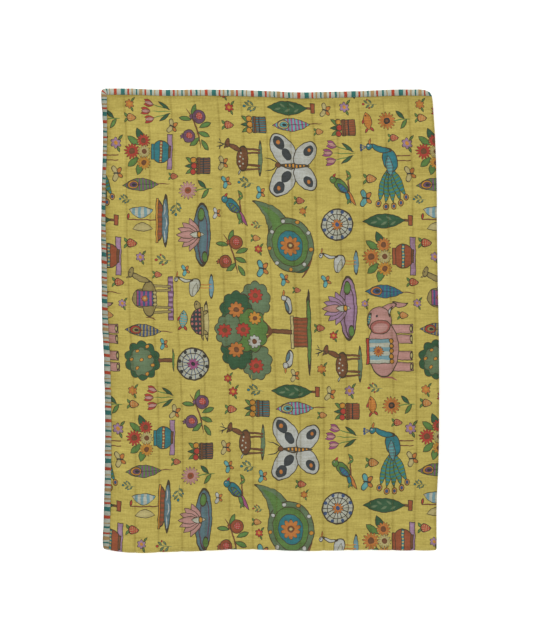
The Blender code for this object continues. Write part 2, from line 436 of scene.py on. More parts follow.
printed = folded(sheet_u, sheet_v, half + relief) + STAND
printed[..., 2] = np.maximum(printed[..., 2], 0)
plain_at = np.ix_(kept_rows, kept_columns)
plain = folded(sheet_u[plain_at], sheet_v[plain_at], -half[plain_at]) + STAND


def grid_faces(corner, turned):
    """Four-sided faces over a grid of numbered points."""
    faces = [corner[:-1, :-1], corner[:-1, 1:], corner[1:, 1:], corner[1:, :-1]]
    return np.stack(faces[::-1] if turned else faces, axis=-1).reshape(-1, 4)


# The cloth is printed in one repeat of free-standing garden motifs, upright towards the free
# side. Each motif is charted below in its own millimetres, across and up, from marks laid one
# over another; the thin dark line round a mark is the outline block.

INKS = {
    "ground": "cbbb64",
    "line": "504737",
    "pink": "c99a94",
    "rose": "b8736c",
    "blue": "7fa6b2",
    "slate": "6a8791",
    "cream": "c6c9ba",
    "straw": "c9bd84",
    "lilac": "b08fae",
    "plum": "7d5c78",
    "sage": "728969",
    "leaf": "6a8f50",
    "pine": "44694c",
    "white": "caceca",
    "charcoal": "4b5053",
    "orange": "cf8648",
    "marigold": "d69a45",
    "brick": "a75f42",
    "red": "bf4f42",
    "teal": "418792",
    "cyan": "6fb3b5",
    "navy": "4d6189",
    "magenta": "ad5f8e",
    "tan": "a59661",
    "umber": "81593f",
    "dark": "434443",
}
LINE_WIDTH = 1.6
RIM_SHADE = 0.82
WAVER = 5.0
WAVERS_PER_MM = 0.06
SPOT_REACH = 0.27
BAR_ROUNDING = 0.3
# On a mark's colour ramp: where its outline ends, the least fill, and how far the ink bleeds
BORDER_STOP = 0.8
LEAST_FILL = 0.05
INK_BLEED = 0.006


class Chart:
    """A motif as it's charted: its material, the place on it, and the ink laid so far."""

    def __init__(self, name):
        self.material, self.tree, self.shader = new_material("printed cotton, " + name, {
            "Roughness": 0.92,
            "Specular IOR Level": 0.2,
            "Sheen Weight": 0.1,
        })
        self.ink = linear(INKS["ground"])
        self.marks = []
        chart_map = add_node(self.tree, "UVMap", {}, uv_map="motif")
        # The outlines waver a little, as cut blocks do.
        waver = add_node(self.tree, "TexNoise", {
            "Vector": chart_map, "Scale": WAVERS_PER_MM, "Detail": 1.0,
        })
        self.place = add_node(
            self.tree, "VectorMath", {0: waver.outputs["Color"], 1: (WAVER, WAVER, 0), 2: chart_map},
            operation="MULTIPLY_ADD",
        )

    def border(self, shape, own, size, petals, deep):
        """A value that is under 1 inside the shape and 1 along its outline."""
        tree = self.tree
        reach = add_node(tree, "VectorMath", {0: own}, operation="LENGTH").outputs["Value"]
        if shape == "oval":
            return reach
        along, up = add_node(tree, "SeparateXYZ", {0: own}).outputs[:2]
        if shape == "leaf":
            across = add_node(tree, "Math", {0: up}, operation="ABSOLUTE")
            return add_node(tree, "Math", {0: along, 1: along, 2: across}, operation="MULTIPLY_ADD")
        if shape == "dome":
            below = add_node(tree, "Math", {0: 1.0, 1: up}, operation="SUBTRACT")
            return add_node(tree, "Math", {0: reach, 1: below}, operation="MAXIMUM")
        if shape == "bar":
            # The longer side is squeezed in, so that the line is as wide on all four sides.
            slack = max(size) / min(size)
            parts = [add_node(tree, "Math", {0: part}, operation="ABSOLUTE") for part in (along, up)]
            longer = 0 if size[0] > size[1] else 1
            parts[longer] = add_node(
                tree, "Math", {0: parts[longer], 1: slack, 2: 1 - slack}, operation="MULTIPLY_ADD",
            )
            sides = {0: parts[0], 1: parts[1], 2: BAR_ROUNDING}
            return add_node(tree, "Math", sides, operation="SMOOTH_MAX")
        angle = add_node(tree, "Math", {0: up, 1: along}, operation="ARCTAN2")
        turns = add_node(tree, "Math", {0: angle, 1: petals / 2}, operation="MULTIPLY")
        wave = add_node(tree, "Math", {0: turns}, operation="COSINE")
        lobe = add_node(tree, "Math", {0: wave}, operation="ABSOLUTE")
        edge = add_node(tree, "Math", {0: lobe, 1: deep, 2: 1 - deep}, operation="MULTIPLY_ADD")
        return add_node(tree, "Math", {0: reach, 1: edge}, operation="DIVIDE")

    def second_ink(self, own, bands, across, spots):
        """1 where a mark's second ink shows: bands up or across it, or a field of spots."""
        tree = self.tree
        if spots:
            counted = add_node(tree, "VectorMath", {0: own, 1: (*spots, 0)}, operation="MULTIPLY")
            cell = add_node(tree, "VectorMath", {0: counted}, operation="FRACTION")
            centred = add_node(tree, "VectorMath", {0: cell, 1: (0.5, 0.5, 0)}, operation="SUBTRACT")
            reach = add_node(tree, "VectorMath", {0: centred}, operation="LENGTH").outputs["Value"]
            return add_node(tree, "Math", {0: reach, 1: SPOT_REACH}, operation="LESS_THAN")
        place = add_node(tree, "SeparateXYZ", {0: own}).outputs[1 if across else 0]
        counted = add_node(tree, "Math", {0: place, 1: bands / 2}, operation="MULTIPLY")
        share = add_node(tree, "Math", {0: counted}, operation="FRACT")
        return add_node(tree, "Math", {0: share, 1: 0.5}, operation="LESS_THAN")

    def mark(self, shape, x, y, wide, high, ink, turn=0, bend=0.0, taper=0.0, line=LINE_WIDTH,
             petals=0, deep=0.3, bands=0, across=False, spots=None, over=None):
        """Lays one mark: x, y and half sizes in mm, turned, bent or tapered, and outlined."""
        tree = self.tree
        self.marks.append((x, y, wide, high, turn, bend))
        own = add_node(tree, "Mapping", {
            "Vector": self.place,
            "Location": (x + WAVER / 2, y + WAVER / 2, 0),
            "Rotation": (0, 0, math.radians(turn)),
            "Scale": (wide, high, 1),
        }, vector_type="TEXTURE")
        if bend or taper:
            along, up = add_node(tree, "SeparateXYZ", {0: own}).outputs[:2]
            squared = add_node(tree, "Math", {0: along, 1: along}, operation="MULTIPLY")
            up = add_node(tree, "Math", {0: squared, 1: -bend, 2: up}, operation="MULTIPLY_ADD")
            if taper:
                width = add_node(tree, "Math", {0: along, 1: taper, 2: 1.0}, operation="MULTIPLY_ADD")
                up = add_node(tree, "Math", {0: up, 1: width}, operation="DIVIDE")
            own = add_node(tree, "CombineXYZ", {0: along, 1: up})
        border = self.border(shape, own, (wide, high), petals, deep)
        # The colour ramp runs from the mark's middle to just past its outline.
        scaled = add_node(tree, "Math", {0: border, 1: BORDER_STOP}, operation="MULTIPLY")
        ramp = add_node(tree, "ValToRGB", {0: scaled})
        stops = ramp.color_ramp.elements
        drawn = linear(INKS["line"])[:3]
        fill, clear = (linear(INKS[ink])[:3], 1) if ink else (drawn, 0)
        shade = tuple(part * RIM_SHADE for part in fill)
        rim = max(LEAST_FILL, BORDER_STOP * (1 - line / min(wide, high))) if line else BORDER_STOP
        stops[0].position, stops[0].color = 0.0, (*fill, clear)
        stops[1].position, stops[1].color = rim - INK_BLEED, (*shade, clear)
        if line:
            stops.new(rim + INK_BLEED).color = (*drawn, 1)
        last = drawn if line else shade
        stops.new(BORDER_STOP).color = (*last, 1 if line else clear)
        stops.new(BORDER_STOP + 2 * INK_BLEED).color = (*last, 0)
        colour = ramp.outputs["Color"]
        if over:
            second = self.second_ink(own, bands, across, spots)
            inside = add_node(tree, "Math", {0: scaled, 1: rim}, operation="LESS_THAN")
            share = add_node(tree, "Math", {0: second, 1: inside}, operation="MULTIPLY")
            laid = add_node(tree, "Mix", {0: share, 6: colour, 7: linear(INKS[over])}, data_type="RGBA")
            colour = laid.outputs[2]
        inks = {0: ramp.outputs["Alpha"], 6: self.ink, 7: colour}
        self.ink = add_node(tree, "Mix", inks, data_type="RGBA").outputs[2]

    oval = partialmethod(mark, "oval")
    dot = partialmethod(mark, "oval", line=0)
    leaf = partialmethod(mark, "leaf")
    bar = partialmethod(mark, "bar")
    dome = partialmethod(mark, "dome")

    def flower(self, x, y, size, ink, petals, deep=0.35, heart="dark", heart_size=0.34, **look):
        self.mark("petals", x, y, size, size, ink, petals=petals, deep=deep, **look)
        self.dot(x, y, size * heart_size, size * heart_size, heart)

    def stem(self, x, y, reach, turn, ink="leaf", bend=0.0, thick=1.5):
        self.dot(x, y, reach, thick, ink, turn=turn, bend=bend * reach / thick)


def around(turn, reach):
    """The place this far from the middle, at this turn."""
    return reach * math.cos(math.radians(turn)), reach * math.sin(math.radians(turn))


def elephant(chart):
    for x, high in ((-56, 30), (-30, 28), (8, 28), (32, 30)):
        chart.bar(x, -26, 11, high, "pink")
        chart.oval(x, -51, 9, 3.5, "straw")
    chart.stem(-80, 2, 20, 80, "rose", bend=0.25, thick=2.2)
    chart.oval(-14, 14, 66, 36, "pink")
    chart.oval(87, -27, 19, 6.5, "pink", turn=-94, bend=0.9, taper=-0.3)
    chart.oval(80, 2, 24, 9.5, "pink", turn=-64, taper=-0.2)
    chart.oval(52, 22, 32, 29, "pink")
    chart.oval(73, -3, 13, 3, "white", turn=-20, bend=-1.2)
    chart.oval(36, 20, 17, 24, "rose", turn=8)
    chart.dot(34, 20, 11, 17, "pink", turn=8)
    chart.dot(62, 27, 3.2, 2.6, "dark")
    chart.bar(-20, 24, 29, 27, "cream", bands=3, over="blue")
    chart.bar(-20, 50, 31, 4, "red")
    for x in (-44, -32, -20, -8, 4):
        chart.oval(x, -5, 6, 5.5, "marigold")
    chart.flower(-20, 25, 13, "orange", 12, heart="brick")
    chart.oval(54, 45, 16, 5, "teal", turn=-12, spots=(3, 1), over="straw")


def paisley(chart):
    chart.stem(-62, -52, 40, 160, "umber", bend=-0.18, thick=3.0)
    chart.leaf(-76, -34, 20, 8, "pine", turn=112)
    chart.oval(44, 30, 60, 23, "sage", turn=26, bend=1.3, taper=-0.5)
    chart.oval(-18, -6, 66, 56, "sage", turn=12)
    chart.dot(40, 29, 46, 12, "leaf", turn=26, bend=1.5, taper=-0.5)
    chart.oval(-18, -6, 52, 43, "leaf", turn=12, line=1.2)
    chart.oval(-20, -6, 37, 30, "teal", turn=12, line=1.2)
    for number in range(9):
        x, y = around(60 + 40 * number, 1)
        chart.oval(59 * x - 18, 50 * y - 6, 5.5, 5.5, "marigold" if number % 2 else "white", line=1.2)
    chart.flower(-20, -6, 25, "orange", 10, heart="umber")
    chart.dot(-20, -6, 4, 4, "straw")


def butterfly(chart):
    for side in (-1, 1):
        chart.oval(side * 30, 22, 42, 25, "white", turn=side * 32)
        chart.oval(side * 25, -24, 32, 21, "white", turn=-side * 38)
        chart.dot(side * 48, 32, 15, 11, "charcoal", turn=side * 32)
        chart.dot(side * 24, 16, 14, 9, "charcoal", turn=side * 32)
        chart.dot(side * 33, -31, 13, 9, "charcoal", turn=-side * 38)
        chart.dot(side * 49, 33, 5, 4, "orange")
        chart.dot(side * 34, -32, 4, 3.4, "orange")
        chart.stem(side * 10, 46, 17, 90 - side * 24, "dark", bend=side * 0.2, thick=1.1)
    chart.oval(0, 0, 5, 34, "charcoal", bands=9, across=True, over="marigold")
    chart.oval(0, 34, 6, 6, "umber")


def lotus(chart, petal="lilac", water="lilac"):
    chart.oval(0, -24, 76, 21, water)
    chart.oval(-10, -26, 60, 13, "plum", line=0.9)
    chart.dot(-8, -26, 54, 10, water)
    chart.oval(48, -22, 17, 8, "leaf")
    chart.oval(-54, -30, 15, 7, "leaf")
    for turn, reach in ((150, 30), (30, 30), (128, 34), (52, 34), (108, 37), (72, 37), (90, 38)):
        x, y = around(turn, reach)
        chart.leaf(x * 0.62, -18 + y * 0.75, 27, 9.5, "pink" if turn == 90 else petal, turn=turn)
    chart.leaf(0, -12, 18, 8, "cream", turn=90)
    chart.oval(0, -17, 9, 5, "marigold")


def flowering_tree(chart):
    chart.oval(0, -106, 104, 6, "leaf")
    chart.bar(0, -84, 36, 19, "brick", bands=8, over="umber")
    chart.bar(0, -66, 40, 4.5, "straw")
    chart.bar(0, -30, 6, 36, "umber")
    for side in (-1, 1):
        chart.stem(side * 26, 4, 36, 90 - side * 52, "umber", bend=-0.12 * side, thick=3.6)
        chart.oval(side * 64, -58, 22, 9, "white", turn=side * 8)
        chart.oval(side * 81, -48, 8, 7, "white")
        chart.leaf(side * 93, -48, 8, 3, "orange", line=1)
        chart.leaf(side * 60, -55, 15, 5, "slate", turn=side * 16)
    for x, y, size, foliage in (
        (-74, 20, 46, "sage"), (74, 20, 46, "sage"), (-48, 66, 48, "pine"), (48, 66, 48, "pine"),
        (0, 34, 54, "leaf"), (0, 84, 42, "sage"),
    ):
        chart.mark("petals", x, y, size, size * 0.82, foliage, petals=9, deep=0.14)
    for x, y, size, bloom in (
        (-84, 22, 19, "red"), (84, 20, 19, "red"), (-46, 68, 20, "orange"), (50, 66, 20, "orange"),
        (0, 94, 18, "red"), (-26, 24, 17, "white"), (30, 22, 17, "marigold"), (2, 50, 18, "red"),
    ):
        chart.flower(x, y, size, bloom, 9, deep=0.3, heart="umber")


def mango_tree(chart):
    chart.bar(0, -42, 5.5, 24, "umber")
    chart.stem(-14, -14, 22, 128, "umber", bend=0.15, thick=2.6)
    chart.stem(15, -12, 22, 50, "umber", bend=-0.15, thick=2.6)
    chart.mark("petals", 0, 16, 52, 47, "pine", petals=10, deep=0.15)
    chart.mark("petals", -3, 18, 38, 33, "sage", petals=9, deep=0.14, line=1.2)
    for x, y in ((-34, 4), (-20, 30), (2, 44), (24, 28), (36, 2), (10, -4), (-12, -10), (2, 18)):
        chart.oval(x, y, 6.2, 5, "marigold", turn=-60, line=1.3)
    chart.oval(0, -64, 30, 3, "leaf", line=0.8)


def camel(chart):
    chart.bar(0, -58, 56, 7, "lilac", bands=9, over="plum")
    for x, lean in ((-34, 3), (-22, -4), (20, 4), (31, -3)):
        chart.bar(x, -36, 3.4, 23, "tan", turn=lean, line=1.0)
    chart.stem(-48, -8, 14, 76, "umber", bend=0.2, thick=1.5)
    chart.oval(0, 16, 24, 22, "tan")
    chart.oval(0, -4, 46, 19, "tan")
    chart.oval(50, 18, 27, 8, "tan", turn=66, bend=-0.4)
    chart.oval(65, 41, 14, 7, "tan", turn=-12, taper=-0.25)
    chart.leaf(53, 49, 6, 2.4, "tan", turn=120, line=1)
    chart.bar(0, 6, 20, 22, "magenta", bands=4, across=True, over="navy")
    for x in (-15, -5, 5, 15):
        chart.oval(x, -18, 4.2, 6, "straw", line=1)
    chart.flower(0, 7, 9, "orange", 8, heart="straw")
    chart.dot(64, 43, 1.7, 1.7, "dark")


def boat(chart):
    chart.bar(2, 12, 1.6, 40, "umber", line=0)
    chart.leaf(20, 18, 31, 15, "cream", turn=90, bend=-0.5, bands=4, over="blue")
    chart.leaf(-16, 14, 26, 11, "straw", turn=90, bend=0.5)
    chart.leaf(10, 50, 9, 3.4, "red", turn=-6)
    chart.dome(0, -20, 54, 22, "brick", turn=180, bands=9, over="umber")
    chart.bar(0, -22, 56, 3.4, "marigold")
    chart.oval(0, -43, 66, 9, "slate")
    for x, y in ((-40, -43), (-6, -46), (30, -42)):
        chart.stem(x, y, 15, 0, "white", bend=0.16, thick=1.2)


def peacock(chart):
    for turn, reach in ((166, 88), (176, 92), (186, 92), (196, 88), (206, 80)):
        x, y = around(turn, reach)
        chart.leaf(28 + x * 0.62, 2 + y * 0.66, 40, 8.5, "leaf", turn=turn, bands=9, over="teal")
        chart.oval(28 + x * 1.12, 2 + y * 1.16, 8.5, 7, "marigold")
        chart.dot(28 + x * 1.12, 2 + y * 1.16, 4.5, 3.6, "navy")
    chart.bar(34, -32, 1.3, 20, "umber", line=0)
    chart.bar(46, -32, 1.3, 20, "umber", line=0)
    chart.oval(36, -2, 29, 18, "teal", turn=14)
    chart.leaf(22, 0, 26, 9, "cyan", turn=8, bands=7, over="slate")
    chart.oval(63, 22, 29, 7.5, "teal", turn=72, bend=-0.8, taper=-0.2)
    chart.oval(70, 47, 9, 7.5, "teal")
    chart.leaf(82, 45, 8, 2.8, "orange", turn=-8, line=1)
    chart.dot(72, 49, 2, 2, "white")
    for turn in (70, 92, 114):
        x, y = around(turn, 1)
        chart.stem(69 + 8 * x, 52 + 8 * y, 6, turn, "navy", thick=0.9)
        chart.dot(69 + 15 * x, 52 + 15 * y, 3, 3, "navy")


def deer(chart):
    chart.oval(2, -46, 44, 5.5, "sage", line=1)
    for x, lean in ((-26, 4), (-16, -4), (14, 4), (23, -3)):
        chart.bar(x, -28, 2.6, 19, "umber", turn=lean, line=0.9)
    chart.oval(0, -2, 32, 14.5, "umber", bend=-0.15)
    chart.oval(27, 17, 20, 6.5, "umber", turn=64)
    chart.oval(38, 34, 12, 6, "umber", turn=-14, taper=-0.3)
    chart.leaf(29, 40, 7, 2.6, "umber", turn=140)
    for side, turn in ((-1, 112), (1, 74)):
        chart.stem(34 + side * 3, 50, 11, turn, "dark", bend=side * 0.2, thick=1.2)
        chart.stem(36 + side * 8, 53, 6, turn - side * 42, "dark", thick=1.0)
    chart.leaf(-33, 4, 8, 3, "cream", turn=150)
    for x, y in ((-18, 3), (-7, 5), (4, 3), (-13, -4), (0, -4), (13, 1)):
        chart.dot(x, y, 2.2, 2, "cream")


def urn(chart, pot="brick", band="teal", bloom="orange"):
    chart.bar(0, -61, 46, 7, "lilac")
    for turn, reach in ((20, 46), (52, 44), (130, 44), (162, 46)):
        x, y = around(turn, reach)
        chart.leaf(x, 4 + y * 0.9, 19, 9, "leaf" if turn % 20 else "pine", turn=turn)
    chart.oval(0, -38, 30, 25, pot)
    chart.bar(0, -16, 21, 4.5, pot)
    chart.bar(0, -60, 16, 3.4, "umber")
    chart.bar(0, -38, 29, 4.2, "straw", bands=7, over=band)
    for x, y, size, ink in (
        (-29, 6, 18, "marigold"), (28, 8, 18, bloom), (0, 38, 21, bloom), (0, 6, 17, "straw"),
    ):
        chart.flower(x, y, size, ink, 13, deep=0.4, heart="umber", heart_size=0.38)


def bough(chart, fruit="brick"):
    chart.stem(0, 0, 50, 18, "umber", bend=0.12, thick=2.0)
    for x, y, turn in (
        (-34, 4, 130), (-16, -18, -110), (22, 26, 80), (42, 4, -20), (6, -22, -70), (-42, -20, -150),
    ):
        chart.leaf(x, y, 16, 6.5, "leaf", turn=turn)
    for x, y, size in ((-20, 18, 16), (26, -8, 17)):
        chart.mark("petals", x, y + size, 7, 7, fruit, petals=5, deep=0.5)
        chart.oval(x, y, size, size * 0.95, fruit)
        chart.oval(x + 2, y - 1, size * 0.5, size * 0.5, "red", spots=(2.2, 2.2), over="pink", line=0.9)


def wheel(chart, ring="navy", spoke="dark", heart="orange"):
    chart.dot(0, 0, 38, 38, "cream")
    for number in range(8):
        chart.bar(0, 0, 36, 0.9, spoke, turn=22.5 * number, line=0)
    chart.oval(0, 0, 39, 39, None, line=3.4)
    chart.oval(0, 0, 27, 27, None, line=1.8)
    chart.flower(0, 0, 15, heart, 10, heart=ring, deep=0.45)
    for number in range(8):
        chart.dot(*around(45 * number + 22.5, 33), 4.2, 4.2, ring)


def tortoise(chart):
    chart.oval(0, -19, 48, 6, "straw", line=1)
    for x, turn in ((-26, -120), (20, -60)):
        chart.oval(x, -14, 11, 5, "tan", turn=turn)
    chart.oval(38, 2, 12, 8, "tan", turn=20)
    chart.leaf(-38, -8, 9, 3, "tan", turn=190)
    chart.dome(0, -8, 33, 27, "charcoal", spots=(3, 3), over="rose")
    chart.bar(0, -9, 34, 3.4, "tan")
    chart.dot(41, 5, 1.8, 1.8, "dark")


def feather(chart, vane="teal", edge="magenta", eye="marigold"):
    chart.stem(0, -30, 34, 90, "umber", bend=0.05, thick=1.3)
    chart.leaf(0, 12, 46, 16, vane, turn=90, bands=11, over=edge, bend=0.12)
    chart.oval(0, 30, 11, 15, eye)
    chart.oval(0, 29, 7, 9.5, edge, line=0.9)
    chart.dot(0, 28, 3.6, 5, "dark")
    chart.stem(0, 2, 30, 90, "dark", thick=0.8)


def cypress(chart, crown="pine", bark="umber"):
    chart.bar(0, -46, 3, 12, bark, line=0.9)
    chart.leaf(0, 8, 52, 18, crown, turn=90)
    for x, y, turn in ((-6, -14, 120), (7, -4, 60), (-6, 8, 120), (6, 20, 60), (-3, 32, 110)):
        chart.leaf(x, y, 8, 2.8, "sage", turn=turn, line=0)
    chart.bar(0, -56, 13, 6, "brick")


def heron(chart, body="white"):
    chart.oval(0, -47, 30, 6, "blue", line=1)
    chart.bar(-4, -32, 1, 15, "orange", line=0)
    chart.bar(4, -32, 1, 15, "orange", line=0)
    chart.oval(-2, -6, 23, 13, body, turn=-16, taper=0.35)
    chart.leaf(-8, -8, 18, 6, "cream", turn=-14, line=1)
    chart.oval(15, 16, 20, 4.6, body, turn=76, bend=-1.2)
    chart.oval(19, 37, 7, 5.2, body)
    chart.leaf(30, 35, 9, 2, "orange", turn=-10, line=0.8)
    chart.dot(20, 38, 1.6, 1.6, "dark")


def parrot(chart, body="leaf", wing="teal", tail="orange"):
    chart.stem(0, -16, 40, 4, "umber", bend=0.04, thick=1.8)
    chart.leaf(-27, -22, 24, 5.5, tail, turn=210)
    chart.leaf(-24, -14, 22, 5, wing, turn=204)
    chart.oval(2, 2, 23, 12.5, body, turn=42)
    chart.leaf(-4, -1, 18, 7.5, wing, turn=46, bands=5, over="navy")
    chart.oval(17, 21, 9.5, 8.5, body)
    chart.leaf(27, 18, 6, 3.4, "red", turn=-30, line=1)
    chart.oval(19, 23, 2, 2, "white", line=0.7)
    for x, turn in ((32, 40), (-36, 150), (20, -50)):
        chart.leaf(x, -16, 9, 3.6, "leaf", turn=turn, line=1)


def clay_pot(chart, clay="brick", fruit="red"):
    for x, turn in ((-12, 122), (12, 58), (0, 90)):
        chart.leaf(x, 17, 15, 5.5, "leaf" if x else "pine", turn=turn)
    chart.oval(-14, 11, 7.5, 7, fruit)
    chart.oval(14, 11, 7.5, 7, "marigold")
    chart.oval(0, 9, 8, 7.5, fruit)
    chart.bar(0, -13, 20, 17, clay, bands=7, over="umber")
    chart.bar(0, -13, 20, 1.4, "dark", line=0)
    chart.bar(0, -3, 21, 3, "umber")


def tulips(chart, bloom="magenta"):
    for x, turn in ((-14, 104), (0, 90), (14, 76)):
        chart.stem(x * 0.8, -12, 26, turn, "leaf", thick=1.2)
    for x, turn in ((-15, 128), (15, 52)):
        chart.leaf(x, -20, 18, 4.6, "pine", turn=turn)
    for x, y, turn in ((-20, 19, 104), (0, 27, 90), (20, 19, 76)):
        chart.leaf(x - 4.5, y, 13, 5, bloom, turn=turn + 12, line=1)
        chart.leaf(x + 4.5, y, 13, 5, bloom, turn=turn - 12, line=1)
        chart.leaf(x, y - 1, 12, 5, "pink", turn=turn, line=1)


def fish(chart, body="orange"):
    chart.leaf(-22, 7, 9, 4, "red", turn=140)
    chart.leaf(-22, -7, 9, 4, "red", turn=-140)
    chart.leaf(2, 0, 25, 12, body, spots=(4, 2.5), over="marigold")
    chart.leaf(2, 12, 8, 3, "red", turn=160, line=1)
    chart.dot(16, 2, 2, 2, "dark")


def daisy(chart, bloom="orange", heart="dark"):
    chart.stem(0, -20, 22, 90, "leaf", bend=0.06, thick=1.6)
    chart.leaf(-12, -24, 15, 5.5, "leaf", turn=140)
    chart.leaf(12, -18, 15, 5.5, "pine", turn=40)
    chart.flower(0, 16, 22, bloom, 14, deep=0.42, heart=heart, heart_size=0.36)
    chart.dot(0, 16, 4, 4, "umber")


def sprig(chart, berry="teal"):
    chart.stem(0, -4, 17, 84, "sage", bend=0.1, thick=0.9)
    for x, y, turn in ((-7, -8, 140), (7, -3, 40), (-6, 4, 130), (6, 9, 50)):
        chart.leaf(x, y, 7, 2.8, "sage", turn=turn, line=0.9)
    chart.oval(0, 15, 3.6, 3.6, berry, line=0.9)
    chart.oval(-11, 0, 2.8, 2.8, berry, line=0.9)
    chart.oval(11, 5, 2.8, 2.8, berry, line=0.9)


def blossom(chart, bloom="red"):
    chart.flower(0, 0, 13, bloom, 6, deep=0.4, heart="marigold")
    chart.leaf(-14, -6, 8, 3.2, "leaf", turn=200)
    chart.leaf(12, -10, 8, 3.2, "leaf", turn=-40)


def moth(chart, wing="cyan"):
    for side in (-1, 1):
        chart.oval(side * 8, 4, 10, 6, wing, turn=side * 30, line=1.2)
        chart.oval(side * 6, -6, 7, 4.6, "orange", turn=-side * 40, line=1.2)
    chart.dot(0, 0, 1.6, 9, "dark")


def berry(chart, fruit="red"):
    chart.leaf(-6, 12, 7, 3, "leaf", turn=150, line=1)
    chart.leaf(6, 12, 7, 3, "leaf", turn=30, line=1)
    chart.oval(0, -1, 12, 9, fruit, turn=-90, taper=-0.35, spots=(3, 3), over="straw")


# A thread is about 0.4 mm: too fine to show, so the slubs are drawn 2.6 mm deep and 34 mm long,
# the warp's own unevenness 2.6 mm wide and 70 mm long, and the speckle of the ink 4.5 mm wide.
GRAINS = (
    # metres across the blanket and along it, detail, and how much it tells
    (0.034, 0.0026, 2, 1.0),  # slubs
    (0.0026, 0.070, 1, 0.4),  # warp
    (0.0045, 0.0045, 2, 0.8),  # speckle
    # The crinkles are painted shade: they only darken and lighten the colour, and aren't raised in the
    # bump.
    (0.060, 0.011, 2, 0.9),  # crinkles from the wash
    (1 / 9, 1 / 9, 1, 0.5),  # faded patches
)
RAISED_GRAINS = 3
# The grains' sum is 1.8 on the average, which takes the middle of the two tints.
DARKEST_AT = 1.1
PALEST_AT = 2.5
DARK_TINT = "b7b09c"
PALE_TINT = "ffffff"
# How far the painted shade in the seams' troughs and along the binding darkens the ground
SEAM_DARK = 0.28
SLUB_HEIGHT = 0.0006
SLUB_STRENGTH = 0.5


def finish_cotton(chart):
    """Plain-woven cotton, printed and washed soft: matt, slubby across, and dull in the ink."""
    tree = chart.tree
    sheet = add_node(tree, "UVMap", {}, uv_map="sheet")
    sums = [0.0]
    for across, along, detail, share in GRAINS:
        place = add_node(tree, "Mapping", {"Vector": sheet, "Scale": (1 / across, 1 / along, 1)})
        grain = add_node(tree, "TexNoise", {"Vector": place, "Scale": 1.0, "Detail": detail})
        told = {0: grain, 1: share, 2: sums[-1]}
        sums.append(add_node(tree, "Math", told, operation="MULTIPLY_ADD"))
    faded = {"Value": sums[-1], "From Min": DARKEST_AT, "From Max": PALEST_AT}
    share = add_node(tree, "MapRange", faded)
    # Painted shade: the seam attribute darkens the ground in the seams' troughs and along the binding.
    seam = add_node(tree, "Attribute", {}, attribute_type="GEOMETRY", attribute_name="seam")
    shaded = {0: seam.outputs["Fac"], 1: -SEAM_DARK, 2: share}
    seam_shaded = add_node(tree, "Math", shaded, operation="MULTIPLY_ADD")
    tints = {0: seam_shaded, 6: linear(DARK_TINT), 7: linear(PALE_TINT)}
    tint = add_node(tree, "Mix", tints, data_type="RGBA")
    inks = {0: 1.0, 6: chart.ink, 7: tint.outputs[2]}
    toned = add_node(tree, "Mix", inks, data_type="RGBA", blend_type="MULTIPLY")
    tree.links.new(toned.outputs[2], chart.shader.inputs["Base Color"])
    raised = {"Height": sums[RAISED_GRAINS], "Distance": SLUB_HEIGHT, "Strength": SLUB_STRENGTH}
    bump = add_node(tree, "Bump", raised)
    tree.links.new(bump.outputs[0], chart.shader.inputs["Normal"])
    return chart.material


